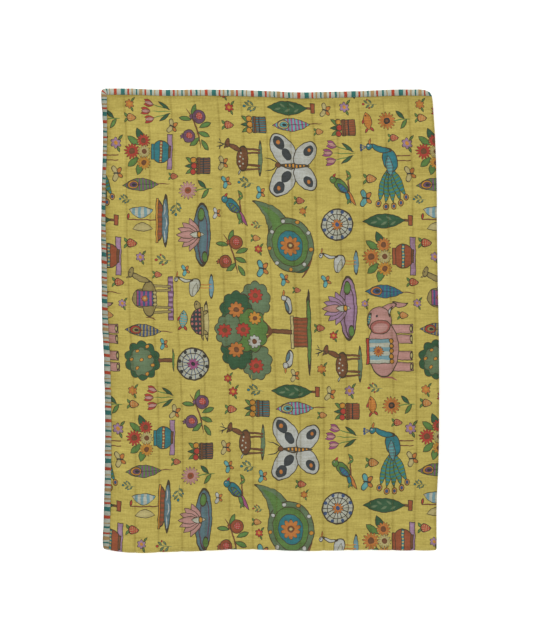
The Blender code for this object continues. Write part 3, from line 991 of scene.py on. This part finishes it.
# The repeat, in millimetres towards the stack's free side and up it, from this place on the
# sheet. The motifs stand clear of one another, with the small ones between the large.
REPEAT = np.array([700, 680])
REPEAT_FROM = (0.045, 0.020)
LARGEST_MOTIF = 170
UNPRINTED_FROM = 12.0
PRINT = (
    # motif, its inks, then each of its places: up, towards the free side, size, turn
    (elephant, {}, (96, 64, 1.03, 0)),
    (feather, {"vane": "teal", "edge": "navy", "eye": "orange"}, (218, 62, 1, -3)),
    (urn, {}, (302, 65, 1, 0)),
    (cypress, {}, (387, 64, 0.98, 0), (661, 290, 0.95, 0)),
    (peacock, {}, (496, 58, 1, 0)),
    (daisy, {}, (627, 44, 0.98, 4)),
    (fish, {}, (626, 106, 0.9, 8)),
    (sprig, {"berry": "red"}, (668, 100, 0.9, 0), (295, 599, 1, 0), (378, 375, 0.7, 0)),
    (deer, {}, (44, 180, 1, 0), (536, 412, 0.98, 0)),
    (lotus, {}, (180, 184, 1.02, 0)),
    (heron, {}, (289, 186, 1, 0)),
    (wheel, {}, (381, 183, 0.98, 0)),
    (parrot, {}, (472, 172, 1, 0)),
    (tulips, {}, (552, 178, 1, -3)),
    (clay_pot, {}, (613, 166, 1, 0)),
    (blossom, {"bloom": "lilac"},
     (662, 160, 1, 0), (301, 652, 0.9, 0), (571, 14, 1.1, 0), (190, 120, 0.7, 0), (190, 696, 0.8, 0)),
    (moth, {"wing": "straw"},
     (656, 206, 1, -12), (499, 9, 1.1, 10), (613, 577, 1, -15), (20, 290, 0.9, 0), (525, 456, 1, 0)),
    (flowering_tree, {}, (124, 360, 1, 0)),
    (paisley, {}, (351, 301, 1, 0)),
    (bough, {}, (309, 432, 1, 0)),
    (parrot, {"body": "teal", "wing": "leaf", "tail": "magenta"}, (421, 430, 1, 0)),
    (butterfly, {}, (523, 286, 1.12, 0)),
    (feather, {"vane": "magenta", "edge": "cyan", "eye": "straw"}, (622, 279, 1, 3)),
    (sprig, {}, (479, 402, 1, 0), (662, 386, 1, 0), (418, 567, 1, 90), (438, 688, 0.8, 0)),
    (moth, {},
     (480, 448, 0.9, 15), (274, 362, 1.2, 0), (247, 211, 0.9, 15), (456, 366, 0.9, 0),
     (270, 545, 0.8, 10), (443, 115, 1.2, 0), (250, 310, 0.9, 10), (95, 600, 0.8, 0)),
    (clay_pot, {"clay": "teal", "fruit": "marigold"}, (618, 381, 1, 0)),
    (berry, {},
     (616, 442, 1, 0), (334, 673, 1.1, 0), (134, 227, 0.9, 0), (440, 272, 0.9, 0), (585, 45, 0.9, 0),
     (260, 611, 0.8, 0), (225, 280, 0.7, 0), (240, 4, 1, 0), (494, 573, 0.8, 0)),
    (blossom, {}, (658, 438, 0.9, 0), (320, 371, 0.8, 0), (10, 450, 0.8, 0), (115, 196, 0.8, 0)),
    (wheel, {"ring": "dark", "spoke": "navy", "heart": "magenta"}, (46, 532, 1, 10)),
    (tortoise, {}, (147, 516, 1, 0)),
    (fish, {"body": "cyan"}, (152, 552, 0.9, -6)),
    (heron, {"body": "cream"}, (230, 531, 1, 0)),
    (lotus, {"petal": "pink", "water": "slate"}, (354, 529, 1, 0)),
    (daisy, {"bloom": "pink", "heart": "brick"}, (461, 523, 1, 4)),
    (clay_pot, {"clay": "charcoal"}, (518, 516, 1, 0)),
    (bough, {"fruit": "plum"}, (609, 520, 1, 0)),
    (mango_tree, {}, (56, 638, 0.92, 0)),
    (feather, {"vane": "navy", "edge": "tan", "eye": "red"}, (127, 637, 0.95, -3)),
    (camel, {}, (203, 636, 0.95, 0)),
    (boat, {}, (388, 633, 0.95, 0)),
    (feather, {"vane": "leaf", "edge": "plum", "eye": "marigold"}, (474, 641, 0.95, 3)),
    (urn, {"pot": "teal", "band": "brick", "bloom": "red"}, (552, 640, 0.92, 0)),
    (tulips, {"bloom": "red"}, (648, 614, 0.95, 0)),
    (berry, {"fruit": "orange"},
     (632, 676, 1, 0), (489, 103, 1.1, 0), (346, 376, 0.8, 0), (605, 224, 0.8, 0), (161, 29, 0.9, 0)),
    (blossom, {"bloom": "orange"}, (664, 678, 0.9, 0), (415, 265, 0.7, 0), (36, 226, 0.9, 0)),
    (moth, {"wing": "white"}, (405, 470, 0.8, 0)),
)


def gap_to(marks, right, above):
    """How far places on a chart are from its nearest mark, in millimetres; under 0 inside one."""
    nearest = np.full(right.shape, np.inf)
    for x, y, wide, high, turn, bend in marks:
        cosine, sine = around(turn, 1)
        along = (right - x) * cosine + (above - y) * sine
        up = (above - y) * cosine - (right - x) * sine
        up = up - bend * high * np.clip(along / wide, -1, 1) ** 2
        reach = np.hypot(along / wide, up / high)
        slope = np.hypot(along / wide**2, up / high**2) + 1e-9
        nearest = np.minimum(nearest, reach * (reach - 1) / slope)
    return nearest


def both_faces(part):
    """A value at each point of the printed face, then at each point of the plain one."""
    return np.concatenate([part.reshape(-1), part[plain_at].reshape(-1)])


def lay_map(mesh, name, places):
    """A UV map, from a place for each corner of each face."""
    mesh.uv_layers.new(name=name).uv.foreach_set("vector", places.astype(np.float32).reshape(-1))


def lay_values(mesh, name, values):
    """An attribute, from a value for each point."""
    layer = mesh.attributes.new(name, "FLOAT", "POINT")
    layer.data.foreach_set("value", values.astype(np.float32).reshape(-1))


corner = np.arange(sheet_u.size).reshape(sheet_u.shape)
plain_corner = corner.size + np.arange(plain[..., 0].size).reshape(plain.shape[:2])
printed_faces = grid_faces(corner, True)
plain_faces = grid_faces(plain_corner, False)

# The rim closes the raw edge between the two faces, out of sight in the binding.
rim = []
for line, kept, plain_line, turned in (
    (corner[0], kept_columns, plain_corner[0], False),
    (corner[-1], kept_columns, plain_corner[-1], True),
    (corner[:, 0], kept_rows, plain_corner[:, 0], True),
    (corner[:, -1], kept_rows, plain_corner[:, -1], False),
):
    side_faces = [
        line[start:end + 1].tolist() + plain_line[[number + 1, number]].tolist()
        for number, (start, end) in enumerate(zip(kept, kept[1:]))
    ]
    rim.append([face[::-1] if turned else face for face in side_faces])

points = np.concatenate([printed.reshape(-1, 3), plain.reshape(-1, 3)])
quilt_mesh = make_mesh(
    "quilt-cloth", points.tolist(), printed_faces.tolist() + plain_faces.tolist() + sum(rim, []),
)
face_corner = np.empty(len(quilt_mesh.loops), np.int32)
quilt_mesh.loops.foreach_get("vertex_index", face_corner)
flat = np.stack([both_faces(sheet_u), both_faces(sheet_v)], axis=-1)[face_corner]

# Each motif is charted once for each set of inks, and has a material of its own. A printed face
# shows the motif with the nearest mark, and the bare ground where none is near.
quilt_mesh.materials.append(finish_cotton(Chart("unprinted")))
corners = (REPEAT_FROM - flat[:printed_faces.size].reshape(-1, 4, 2)) * 1000
middles = corners.mean(axis=1)
nearest = np.full(len(corners), UNPRINTED_FROM)
face_slots = np.zeros(len(quilt_mesh.polygons), np.int32)
printed_places = np.zeros(corners.shape)
for slot, (motif, inks, *motif_places) in enumerate(PRINT, 1):
    chart = Chart(" ".join((motif.__name__, *inks.values())))
    motif(chart, **inks)
    quilt_mesh.materials.append(finish_cotton(chart))
    for up, towards_free, size, turn in motif_places:
        away = middles - (towards_free, up)
        away -= REPEAT * np.round(away / REPEAT)
        cosine, sine = around(turn, 1 / size)
        to_chart = np.array([[sine, cosine], [cosine, -sine]])
        on_chart = away @ to_chart
        near = np.flatnonzero(np.abs(on_chart).max(axis=1) < LARGEST_MOTIF)
        gap = gap_to(chart.marks, *on_chart[near].T) * size
        own = near[gap < nearest[near]]
        nearest[own] = gap[gap < nearest[near]]
        face_slots[own] = slot
        steps = corners[own] - middles[own, None]
        printed_places[own] = on_chart[own, None] + steps @ to_chart
chart_places = np.zeros(flat.shape)
chart_places[:printed_faces.size] = printed_places.reshape(-1, 2)
quilt_mesh.polygons.foreach_set("material_index", face_slots)
lay_map(quilt_mesh, "motif", chart_places)
lay_map(quilt_mesh, "sheet", flat)

# Painted shade: the seams' troughs and the cloth along the binding's inner edge are drawn a little
# darker, where shade falls in the troughs and where the cloth rolls in under the strip.
SEAM_SHADE_REACH = 0.0024
EDGE_SHADE = 1.3
EDGE_SHADE_REACH = 0.008
from_strip = np.minimum(from_end, np.minimum(sheet_u, WIDTH - sheet_u)) - BINDING_FACE
seam_shade = np.exp(-((to_seam / SEAM_SHADE_REACH) ** 2)) * (fullness > 0)
edge_shade = EDGE_SHADE * np.exp(-np.maximum(from_strip, 0) / EDGE_SHADE_REACH)
# The seam attribute carries this painted shade into the cotton's colour.
lay_values(quilt_mesh, "seam", both_faces(np.maximum(seam_shade, edge_shade)))

# A map for baking: the layer on top has most of it, the others and the rim share one side.
BAKE_PLACES = np.array([
    # left, low, width and height, for each quarter of the inner face, then of the printed one
    (0.72, 0.20, 0.13, 0.16),
    (0.72, 0.38, 0.13, 0.16),
    (0.86, 0.20, 0.13, 0.16),
    (0.86, 0.38, 0.13, 0.16),
    (0.005, 0.005, 0.70, 0.99),
    (0.72, 0.74, 0.27, 0.255),
    (0.72, 0.56, 0.13, 0.16),
    (0.86, 0.56, 0.13, 0.16),
])
RIM_PLACE = (0.72, 0.02)
RIM_LONG = 0.27
RIM_ROW = 0.04
RIM_HIGH = 0.03
quads = printed_faces.size + plain_faces.size
quad_flat = flat[:quads].reshape(-1, 4, 2)
fold_at = np.array([PAST_LENGTHWISE, PAST_CROSSWISE])
past = quad_flat.mean(axis=1) > fold_at
quarter = past @ (2, 1) + 4 * (np.arange(len(past)) < len(printed_faces))
cell = BAKE_PLACES[quarter][:, None]
quarter_size = np.where(past, (WIDTH, LENGTH) - fold_at, fold_at)[:, None]
share = (quad_flat - (fold_at * past)[:, None]) / quarter_size
rim_side = np.repeat(range(4), [sum(map(len, side_faces)) for side_faces in rim])
run = np.where(rim_side < 2, flat[quads:, 0] / WIDTH, flat[quads:, 1] / LENGTH)
on_printed = face_corner[quads:] < corner.size
rim_rise = RIM_ROW * rim_side + RIM_HIGH * on_printed
lay_map(quilt_mesh, "OFBake", np.concatenate([
    (cell[..., :2] + cell[..., 2:] * share).reshape(-1, 2),
    RIM_PLACE + np.stack([RIM_LONG * run, rim_rise], axis=-1),
]))

quilt_mesh.shade_smooth()
quilt = put_in_scene("quilted-cloth", quilt_mesh)
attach(quilt, "root")
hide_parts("quilt")


# ---------------------------------------------------------------------------------------------
# The quilting stitches: running stitches of mustard cotton thread, machine-sewn through all the
# layers along every line. The ones on the outside of the folded stack are made.

QUILTING_PITCH = 0.0042
QUILTING_STITCH = 0.0029
QUILTING_THREAD = 0.0008
# Each line's stitches start this share of a pitch further on than those of the line before.
QUILTING_SHIFT = 0.37
SEWN_FROM = 0.017
# How deep a stitch's ends are sunk, and how far its sides stand proud, in threads
SUNK = 0.6
PROUD = 0.1
# A point this far over the seam tells which way is out.
OUTWARD_STEP = 0.001
# The two plies turn about every 0.6 mm: drawn 1 mm apart so that they show.
PLIES = 1 / 0.001
PLY_TONES = (0.7, 1.1)

# A stitch's six faces, and its points' places in its own cell of the bake's map
STITCH_FACES = ((0, 3, 4), (3, 1, 4), (1, 2, 4), (2, 0, 4), (0, 2, 3), (3, 2, 1))
STITCH_TOP = ((0.05, 0.50), (0.62, 0.50), (0.33, 0.94), (0.33, 0.06), (0.33, 0.50))
STITCH_UNDER = ((0.68, 0.50), (0.95, 0.50), (0.81, 0.94), (0.81, 0.06))


def sew(name, starts, ends, outward, thread):
    """Stitches, each a closed loop of thread that stands proud and is sunk at both ends."""
    starts, ends, outward = (np.concatenate(part) for part in (starts, ends, outward))
    side = np.cross(outward, ends - starts)
    side = side / np.linalg.norm(side, axis=1)[:, None] * thread / 2
    middle = (starts + ends) / 2 + outward * thread * PROUD
    sunk = outward * thread * SUNK
    top = middle + outward * thread / 2
    corners = np.stack([starts - sunk, ends - sunk, middle + side, middle - side, top], axis=1)
    # The blanket's own weight presses the ones it lies on into the cloth.
    corners[..., 2] += np.maximum(-corners[..., 2].min(axis=1), 0)[:, None]
    faces = (np.arange(len(starts)) * 5)[:, None, None] + np.array(STITCH_FACES)
    mesh = make_mesh(name, corners.reshape(-1, 3).tolist(), faces.reshape(-1, 3).tolist())
    cells = math.ceil(math.sqrt(len(starts)))
    cell = np.stack(np.divmod(np.arange(len(starts)), cells), axis=-1)
    own = np.array([
        [(STITCH_TOP if 4 in face else STITCH_UNDER)[point] for point in face]
        for face in STITCH_FACES
    ])
    lay_map(mesh, "OFBake", (cell[:, None, None, :] + own) / cells)
    return mesh


def spun_thread(name, colour):
    """Mercerised cotton thread: smoother and a little glossier than the cloth it sews."""
    material, tree, shader = new_material(name, {"Roughness": 0.6, "Sheen Weight": 0.15})
    own_place = add_node(tree, "TexCoord", {}).outputs["Object"]
    plies = add_node(tree, "TexNoise", {"Vector": own_place, "Scale": PLIES, "Detail": 1.0})
    tones = {"Value": plies, "To Min": PLY_TONES[0], "To Max": PLY_TONES[1]}
    tone = add_node(tree, "MapRange", tones)
    dyed = {0: linear(colour)[:3], "Scale": tone}
    toned = add_node(tree, "VectorMath", dyed, operation="SCALE")
    tree.links.new(toned.outputs[0], shader.inputs["Base Color"])
    return material


stitch_v = np.arange(SEWN_FROM, LENGTH - SEWN_FROM, QUILTING_PITCH)
starts, ends, outward = [], [], []
for line in range(half_lines):
    column = 1 + len(DENSE_SHARES) * (line + 1)
    shift = QUILTING_PITCH * ((line * QUILTING_SHIFT) % 1)
    for step, stitch_ends in ((0, starts), (QUILTING_STITCH, ends)):
        at = stitch_v + shift + step
        rise = np.interp(at, row_v, (half + relief)[:, column])
        stitch_ends.append(folded(line_place(line, at), at, rise) + STAND)
    lifted = folded(line_place(line, at), at, rise + OUTWARD_STEP) + STAND - ends[-1]
    outward.append(lifted / np.linalg.norm(lifted, axis=1)[:, None])
stitches_mesh = sew("quilting-thread", starts, ends, outward, QUILTING_THREAD)
stitches_mesh.materials.append(spun_thread("cotton thread, mustard", "9c8c47"))
stitches = put_in_scene("quilting-stitches", stitches_mesh)
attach(stitches, "root")


# ---------------------------------------------------------------------------------------------
# The binding: one strip of yarn-dyed striped cotton, cut along the stripes' cross, wrapped over
# the raw edge all round, mitred at the corners and top-stitched by machine near its inner edge.

BINDING_GAP = 0.0012
BINDING_RISE = 0.0019
CORNER_RADIUS = 0.010
CORNER_STEPS = 6
MITRE_SPREAD = 0.001
SECTION_STEP = 0.006
JOIN_AT = 0.640

# The width of the strip's face on the printed side, which narrows where the strip rolls over
# the free side: from the top layer's corner, in even steps down to the crosswise fold
FACE_WIDTH = 0.0148
FACE_WIDTHS = (
    0.0142, 0.0100, 0.0096, 0.0104, 0.0124, 0.0136, 0.0148, 0.0150, 0.0152, 0.0152, 0.0160, 0.0164,
)

# How the strip's two edges waver and how it puffs between puckers: width, length and height.
# The run is counted from here, so that it stays over 0.
RUN_FROM = 10
EDGE_WAVE = (0.013, 1, 0.0005)
LONG_EDGE_WAVE = (0.045, 1, 0.0004)
INNER_WAVE = (0.022, 1, 0.0004)
PUFFS = (0.011, 1, 0.16)
LONG_PUFFS = (0.030, 1, 0.10)
PIECED_DIP = 0.25
PIECED_DIP_REACH = 3
PUFFED_FROM = 0.2
PUFFED_TO = 0.95
EDGE_PRESSED = 0.0003
LOWEST = 0.00005

# The strip's section: share of the face from the finished edge in, share of its rise, and the
# side: 1 the printed side, -1 the reverse. It's puffed in the middle and drawn down by the seam.
SEAM_POINTS = ((0.88, 0.78, 1), (0.88, 0.80, -1))
STRIP_SECTION = (
    (1.00, 0.74, 1), (0.97, 0.84, 1), SEAM_POINTS[0], (0.74, 0.98, 1), (0.50, 1.08, 1),
    (0.26, 1.06, 1), (0.10, 0.86, 1), (0.02, 0.46, 1), (0.00, 0.00, 1), (0.02, 0.46, -1),
    (0.10, 0.86, -1), (0.26, 1.00, -1), (0.60, 1.00, -1), SEAM_POINTS[1], (1.00, 0.74, -1),
)
INNER_SECTION = ((1.00, -1), (0.60, -1), (0.07, -1), (0.07, 1), (0.60, 1), (1.00, 1))

# The stripes, in millimetres along the strip, from the wide red one on
STRIPES = (
    ("red", 6.9), ("cream", 9.1), ("teal", 10.3), ("cream", 5.7), ("red", 4.8), ("cream", 4.8),
    ("tan", 3.8), ("cream", 6.9), ("teal", 3.1), ("cream", 4.8), ("tan", 7.4), ("cream", 5.2),
    ("red", 4.3), ("cream", 8.6), ("teal", 4.8), ("cream", 5.2), ("tan", 2.6), ("cream", 9.1),
)
YARNS = {"red": "b44a30", "cream": "babfae", "teal": "39746d", "tan": "ae8f5f"}
# How far from the corner the first of them starts
FIRST_RED = 30.5
# The strip is pieced down the free side, in millimetres from the corner. A place on the second
# piece, the place on the repeat that falls there, and how far the repeat runs in a millimetre
PIECED_AT = -665
SECOND_PIECE_AT = -674.6
SECOND_PIECE_REPEAT = -717.8
SECOND_PIECE_RUN = 0.9355
# The first piece is drawn out too, down the free side, and its stripes lean.
EASED_IN = 0.965
EASED_IN_BY = 14
STRIPES_LEAN = 0.12
LEAN_MOST_AT = -430
LEAN_REACH = 250
# Along the free ends it's drawn out, more and more towards the lengthwise fold
EASED_BACK = 2.4
EASED_BACK_BY = 30
DRAWN_OUT = 0.012
DRAWN_OUT_MORE = 3.6e-5
DRAWN_OUT_TO = 800


def spaced(full, fold_at, fold_arc):
    """Places between a side's corners, close enough for the waves and closer in the fold."""
    start, stop = CORNER_RADIUS, full - CORNER_RADIUS
    fold = fold_at + fold_arc * np.arange(FOLD_STEPS + 1) / FOLD_STEPS
    before = np.linspace(start, fold_at, round((fold_at - start) / SECTION_STEP), endpoint=False)
    after = np.linspace(stop, fold[-1], round((stop - fold[-1]) / SECTION_STEP), endpoint=False)
    return np.concatenate([before, fold, after[::-1]])[1:-1]


def strip_sections():
    """Round the edges from the join: finished edge, inner edge, and millimetres from the corner."""
    places_u = spaced(WIDTH, RUN_ACROSS, LENGTHWISE_ARC)
    places_v = spaced(LENGTH, RUN_ALONG, CROSSWISE_ARC)
    sections = []
    for straight, corner, back, ahead in (
        # a side, the corner at its end, the way back from it, and the way on, which is also in
        ([(u, LENGTH) for u in places_u[::-1]], (0, LENGTH), (1, 0), (0, -1)),
        ([(0, v) for v in places_v[::-1]], (0, 0), (0, 1), (1, 0)),
        ([(u, 0) for u in places_u], (WIDTH, 0), (-1, 0), (0, 1)),
        ([(WIDTH, v) for v in places_v], (WIDTH, LENGTH), (0, -1), (-1, 0)),
    ):
        corner, back, ahead = np.array(corner), np.array(back), np.array(ahead)
        sections += [(np.array(edge), edge + BINDING_FACE * ahead) for edge in straight]
        for step in range(CORNER_STEPS + 1):
            share = step / CORNER_STEPS
            angle = share * math.pi / 2
            edge = back * (1 - math.sin(angle)) + ahead * (1 - math.cos(angle))
            spread = (back * (1 - share) + ahead * share) * MITRE_SPREAD
            inner = (back + ahead) * BINDING_FACE + spread
            sections.append((corner + edge * CORNER_RADIUS, corner + inner))
    before_join = np.count_nonzero(places_u >= JOIN_AT)
    edges, inners = np.roll(np.array(sections), -before_join, axis=0).transpose(1, 0, 2)
    run = np.concatenate([[0], np.cumsum(np.hypot(*np.diff(edges, axis=0).T))])
    first_corner = np.argmin(np.hypot(*edges.T) + (edges[:, 0] > edges[:, 1]))
    return edges, inners, (run - run[first_corner]) * 1000


def across_strip(share, side):
    """Flat places at this share of the face's width from the finished edge in."""
    width = face_share if side > 0 else 1
    return edges + (inners - edges) * np.reshape(share * width, (-1, 1))


edges, inners, run_mm = strip_sections()
face_share = np.where(
    (edges[:, 0] < CORNER_RADIUS) & (edges[:, 1] < RUN_ALONG),
    smooth(FACE_WIDTHS, np.clip(edges[:, 1] / RUN_ALONG, 0, 1)),
    FACE_WIDTH,
) / BINDING_FACE
along = run_mm / 1000 + RUN_FROM
noises = [
    soft_noise(along, 0 * along + aside, size, seed)
    for seed, size, aside in (
        (5, EDGE_WAVE, 0.5), (6, LONG_EDGE_WAVE, 0), (7, INNER_WAVE, 0),
        (8, PUFFS, 0), (9, LONG_PUFFS, 0),
    )
]
edge_wave, inner_wave, puff = noises[0] + noises[1], noises[2], 1 + noises[3] + noises[4]
puff = puff - PIECED_DIP * np.exp(-((run_mm - PIECED_AT) / PIECED_DIP_REACH) ** 2)

inward = (inners - edges) / np.linalg.norm(inners - edges, axis=1)[:, None]
rings = []
for share, rise, side in STRIP_SECTION:
    wave = edge_wave * (1 - share) + inner_wave * share
    place = across_strip(share, side) - inward * wave[:, None]
    height = side * BINDING_RISE * rise * (puff if PUFFED_FROM < share < PUFFED_TO else 1)
    rings.append(folded(*place.T, height))
for share, side in INNER_SECTION:
    height = side * (BINDING_GAP - EDGE_PRESSED * (share == 1))
    rings.append(folded(*across_strip(share, side).T, height))
rings = np.stack(rings, axis=1) + STAND
rings[..., 2] = np.maximum(rings[..., 2], LOWEST)
section_points = rings.shape[1]
numbers = np.arange(rings[..., 0].size).reshape(-1, section_points)
numbers = np.pad(numbers, ((0, 1), (0, 1)), mode="wrap")
strip_faces = grid_faces(numbers, False)
binding_mesh = make_mesh("binding-strip", rings.reshape(-1, 3).tolist(), strip_faces.tolist())

# The stripes' map: millimetres along the repeat, and in from the finished edge.
section_ends = np.append(run_mm, 2 * run_mm[-1] - run_mm[-2])
on_second = (section_ends[:-1] + section_ends[1:]) / 2 < PIECED_AT
first_piece = np.where(section_ends < 0, EASED_IN * section_ends, section_ends)
along_end = np.clip(section_ends, 0, DRAWN_OUT_TO)
first_piece = first_piece + np.clip(-section_ends / EASED_IN_BY, 0, 1)
first_piece = first_piece + EASED_BACK * np.minimum(along_end / EASED_BACK_BY, 1)
first_piece = first_piece - along_end * (DRAWN_OUT + DRAWN_OUT_MORE * along_end)
second_piece = SECOND_PIECE_REPEAT + SECOND_PIECE_RUN * (section_ends - SECOND_PIECE_AT)
lean = STRIPES_LEAN * np.exp(-((section_ends - LEAN_MOST_AT) / LEAN_REACH) ** 2)
ring_share = np.array([share for share, *_ in STRIP_SECTION + INNER_SECTION])
ring_side = np.array([side for *_, side in STRIP_SECTION + INNER_SECTION])
ring_inset = np.append(ring_share * ring_side, 1) * BINDING_FACE * 1000
strip_places = []
face_steps = ((0, 0), (0, 1), (1, 1), (1, 0))
for step_run, step_round in face_steps:
    own = slice(step_run, len(run_mm) + step_run)
    inset = ring_inset[step_round:section_points + step_round]
    place = np.where(on_second, second_piece[own], first_piece[own])[:, None]
    place = place + lean[own, None] * inset
    strip_places.append(np.stack([place, np.broadcast_to(inset, place.shape)], axis=-1))
lay_map(binding_mesh, "strip", np.stack(strip_places, axis=2))

# Painted shade: the strip is drawn darker towards the seam's groove, where shade falls, and most of all
# down the blanket's long sides, where the strip rolls over the free side and turns from the light, at
# its finished edge.
BASE_STRIP_SHADE = 0.08
GROOVE_SHADE = 0.37
LONG_SIDE_SHADE = 0.34
LONG_SIDE_EDGE_SHADE = 0.30
LONG_SIDE_SHADE_FROM_CORNER = 0.020
on_side = np.minimum(edges[:, 0], WIDTH - edges[:, 0]) < CORNER_RADIUS
from_corner = np.minimum(edges[:, 1], LENGTH - edges[:, 1])
long_side_share = (on_side * np.clip(from_corner / LONG_SIDE_SHADE_FROM_CORNER, 0, 1))[:, None]
ends_shade = BASE_STRIP_SHADE + GROOVE_SHADE * ring_share**2
long_sides_shade = LONG_SIDE_SHADE + LONG_SIDE_EDGE_SHADE * (1 - ring_share) ** 4
lay_values(binding_mesh, "painted_strip_shade", (1 - long_side_share) * ends_shade + long_side_share * long_sides_shade)

# The bake's map has the strip cut into rows, one above another, with some room round each.
BAKE_ROWS = 10
ROW_MARGIN = 0.01
LAYER_MARGIN = 0.03
per_row = math.ceil(len(edges) / BAKE_ROWS)
face_section, face_point = np.divmod(np.arange(len(strip_faces)), section_points)
face_row, face_place = np.divmod(face_section, per_row)
step_run, step_round = np.array(face_steps).T
across_row = (face_place[:, None] + step_run) / per_row
up_row = (face_point[:, None] + step_round) / section_points
lay_map(binding_mesh, "OFBake", np.stack([
    ROW_MARGIN + (1 - 2 * ROW_MARGIN) * across_row,
    (face_row[:, None] + LAYER_MARGIN + (1 - 2 * LAYER_MARGIN) * up_row) / BAKE_ROWS,
], axis=-1))

# In millimetres, along the strip and across it. The yarns are about 0.3 mm apart: drawn 1.2 mm
# apart so that their unevenness shows. The seam draws the strip into puckers about 4 mm apart.
WANDERS_PER_MM = 0.16
STRIPE_WANDER = 2.6
STRIP_GRAINS = (
    # along the strip, across it, and detail: for the yarns, the weft, and the puckers
    (1.2, 9, 2.0),
    (7, 1.4, 1.0),
    (4, 14, 1.0),
)
WEFT_SHARE = 0.6
LEAST_TONE = 0.71
TONE_SPREAD = 0.36
# How much painted shade and light the puckers lay on the colour, besides their bump
PUCKER_SHADE = 0.40
YARN_HEIGHT = 0.0005
YARN_STRENGTH = 0.6
PUCKER_HEIGHT = 0.0016


def striped_cotton():
    """Yarn-dyed cotton: each stripe is its own yarns, so it's matt and slightly uneven along."""
    material, tree, shader = new_material("yarn-dyed striped cotton", {
        "Roughness": 0.9,
        "Specular IOR Level": 0.2,
    })
    strip = add_node(tree, "UVMap", {}, uv_map="strip")
    wander = add_node(tree, "TexNoise", {"Vector": strip, "Scale": WANDERS_PER_MM, "Detail": 2.0})
    parts = add_node(tree, "SeparateXYZ", {0: strip})
    wandered = {0: wander, 1: STRIPE_WANDER, 2: parts}
    run = add_node(tree, "Math", wandered, operation="MULTIPLY_ADD")
    # A hundred repeats are added so that the count stays over 0.
    period = sum(width for yarn, width in STRIPES)
    from_first = {0: run, 1: 1 / period, 2: 100 - (FIRST_RED + STRIPE_WANDER / 2) / period}
    counted = add_node(tree, "Math", from_first, operation="MULTIPLY_ADD")
    share = add_node(tree, "Math", {0: counted}, operation="FRACT")
    ramp = add_node(tree, "ValToRGB", {0: share})
    ramp.color_ramp.interpolation = "CONSTANT"
    stops = ramp.color_ramp.elements
    stops[0].color = linear(YARNS[STRIPES[0][0]])
    stops.remove(stops[1])
    reached = STRIPES[0][1]
    for yarn, width in STRIPES[1:]:
        stops.new(reached / period).color = linear(YARNS[yarn])
        reached += width
    grains = []
    for across, along, detail in STRIP_GRAINS:
        place = add_node(tree, "Mapping", {"Vector": strip, "Scale": (1 / across, 1 / along, 1)})
        noise = {"Vector": place, "Scale": 1.0, "Detail": detail}
        grains.append(add_node(tree, "TexNoise", noise))
    yarn, weft, puckers = grains
    threads = add_node(tree, "Math", {0: weft, 1: WEFT_SHARE, 2: yarn}, operation="MULTIPLY_ADD")
    toned = {0: threads, 1: TONE_SPREAD, 2: LEAST_TONE}
    tone = add_node(tree, "Math", toned, operation="MULTIPLY_ADD")
    # Painted shade: the puckers also darken and lighten the colour, on top of their bump.
    centred = {0: puckers, 1: PUCKER_SHADE, 2: -PUCKER_SHADE / 2}
    drawn_in = add_node(tree, "Math", centred, operation="MULTIPLY_ADD")
    pucker_shaded = add_node(tree, "Math", {0: tone, 1: drawn_in}, operation="ADD")
    # Painted shade: the strip's shade attribute darkens its colour towards the groove and down the long
    # sides.
    painted_strip_shade = add_node(tree, "Attribute", {}, attribute_type="GEOMETRY", attribute_name="painted_strip_shade")
    shade_taken = {0: painted_strip_shade.outputs["Fac"], 1: -1, 2: pucker_shaded}
    shaded_tone = add_node(tree, "Math", shade_taken, operation="MULTIPLY_ADD")
    dyed = {0: ramp, "Scale": shaded_tone}
    colour = add_node(tree, "VectorMath", dyed, operation="SCALE")
    tree.links.new(colour.outputs[0], shader.inputs["Base Color"])
    woven = {"Height": threads, "Distance": YARN_HEIGHT, "Strength": YARN_STRENGTH}
    bump = add_node(tree, "Bump", woven)
    gathered = {"Height": puckers, "Normal": bump, "Distance": PUCKER_HEIGHT}
    wrinkled = add_node(tree, "Bump", gathered)
    tree.links.new(wrinkled.outputs[0], shader.inputs["Normal"])
    return material


binding_mesh.materials.append(striped_cotton())
binding_mesh.shade_smooth()
binding = put_in_scene("striped-binding", binding_mesh)
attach(binding, "root")
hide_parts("binding")


# ---------------------------------------------------------------------------------------------
# The binding's stitches: a lockstitch of cream cotton thread near the strip's inner edge, on
# both faces, which holds the strip, the sheet's layers and the strip's other face together.

LOCKSTITCH_PITCH = 0.0035
LOCKSTITCH = 0.0025
LOCKSTITCH_THREAD = 0.0007

starts, ends, outward = [], [], []
for seam_point in SEAM_POINTS:
    share, _, side = seam_point
    sewn_line = rings[:, STRIP_SECTION.index(seam_point)]
    away = sewn_line - folded(*across_strip(share, side).T, 0) - STAND
    sewn_line, away = (np.concatenate([part, part[:1]]) for part in (sewn_line, away))
    run = np.concatenate([[0], np.cumsum(np.linalg.norm(np.diff(sewn_line, axis=0), axis=1))])
    at = np.arange(0, run[-1] - LOCKSTITCH_PITCH, LOCKSTITCH_PITCH)
    start, end, out = (
        np.stack([np.interp(place, run, part) for part in line.T], axis=-1)
        for place, line in ((at, sewn_line), (at + LOCKSTITCH, sewn_line), (at, away))
    )
    starts.append(start)
    ends.append(end)
    outward.append(out / np.linalg.norm(out, axis=1)[:, None])
lockstitch_mesh = sew("binding-thread", starts, ends, outward, LOCKSTITCH_THREAD)
lockstitch_mesh.materials.append(spun_thread("cotton thread, cream", "b5b09a"))
lockstitch = put_in_scene("binding-stitches", lockstitch_mesh)
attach(lockstitch, "root")
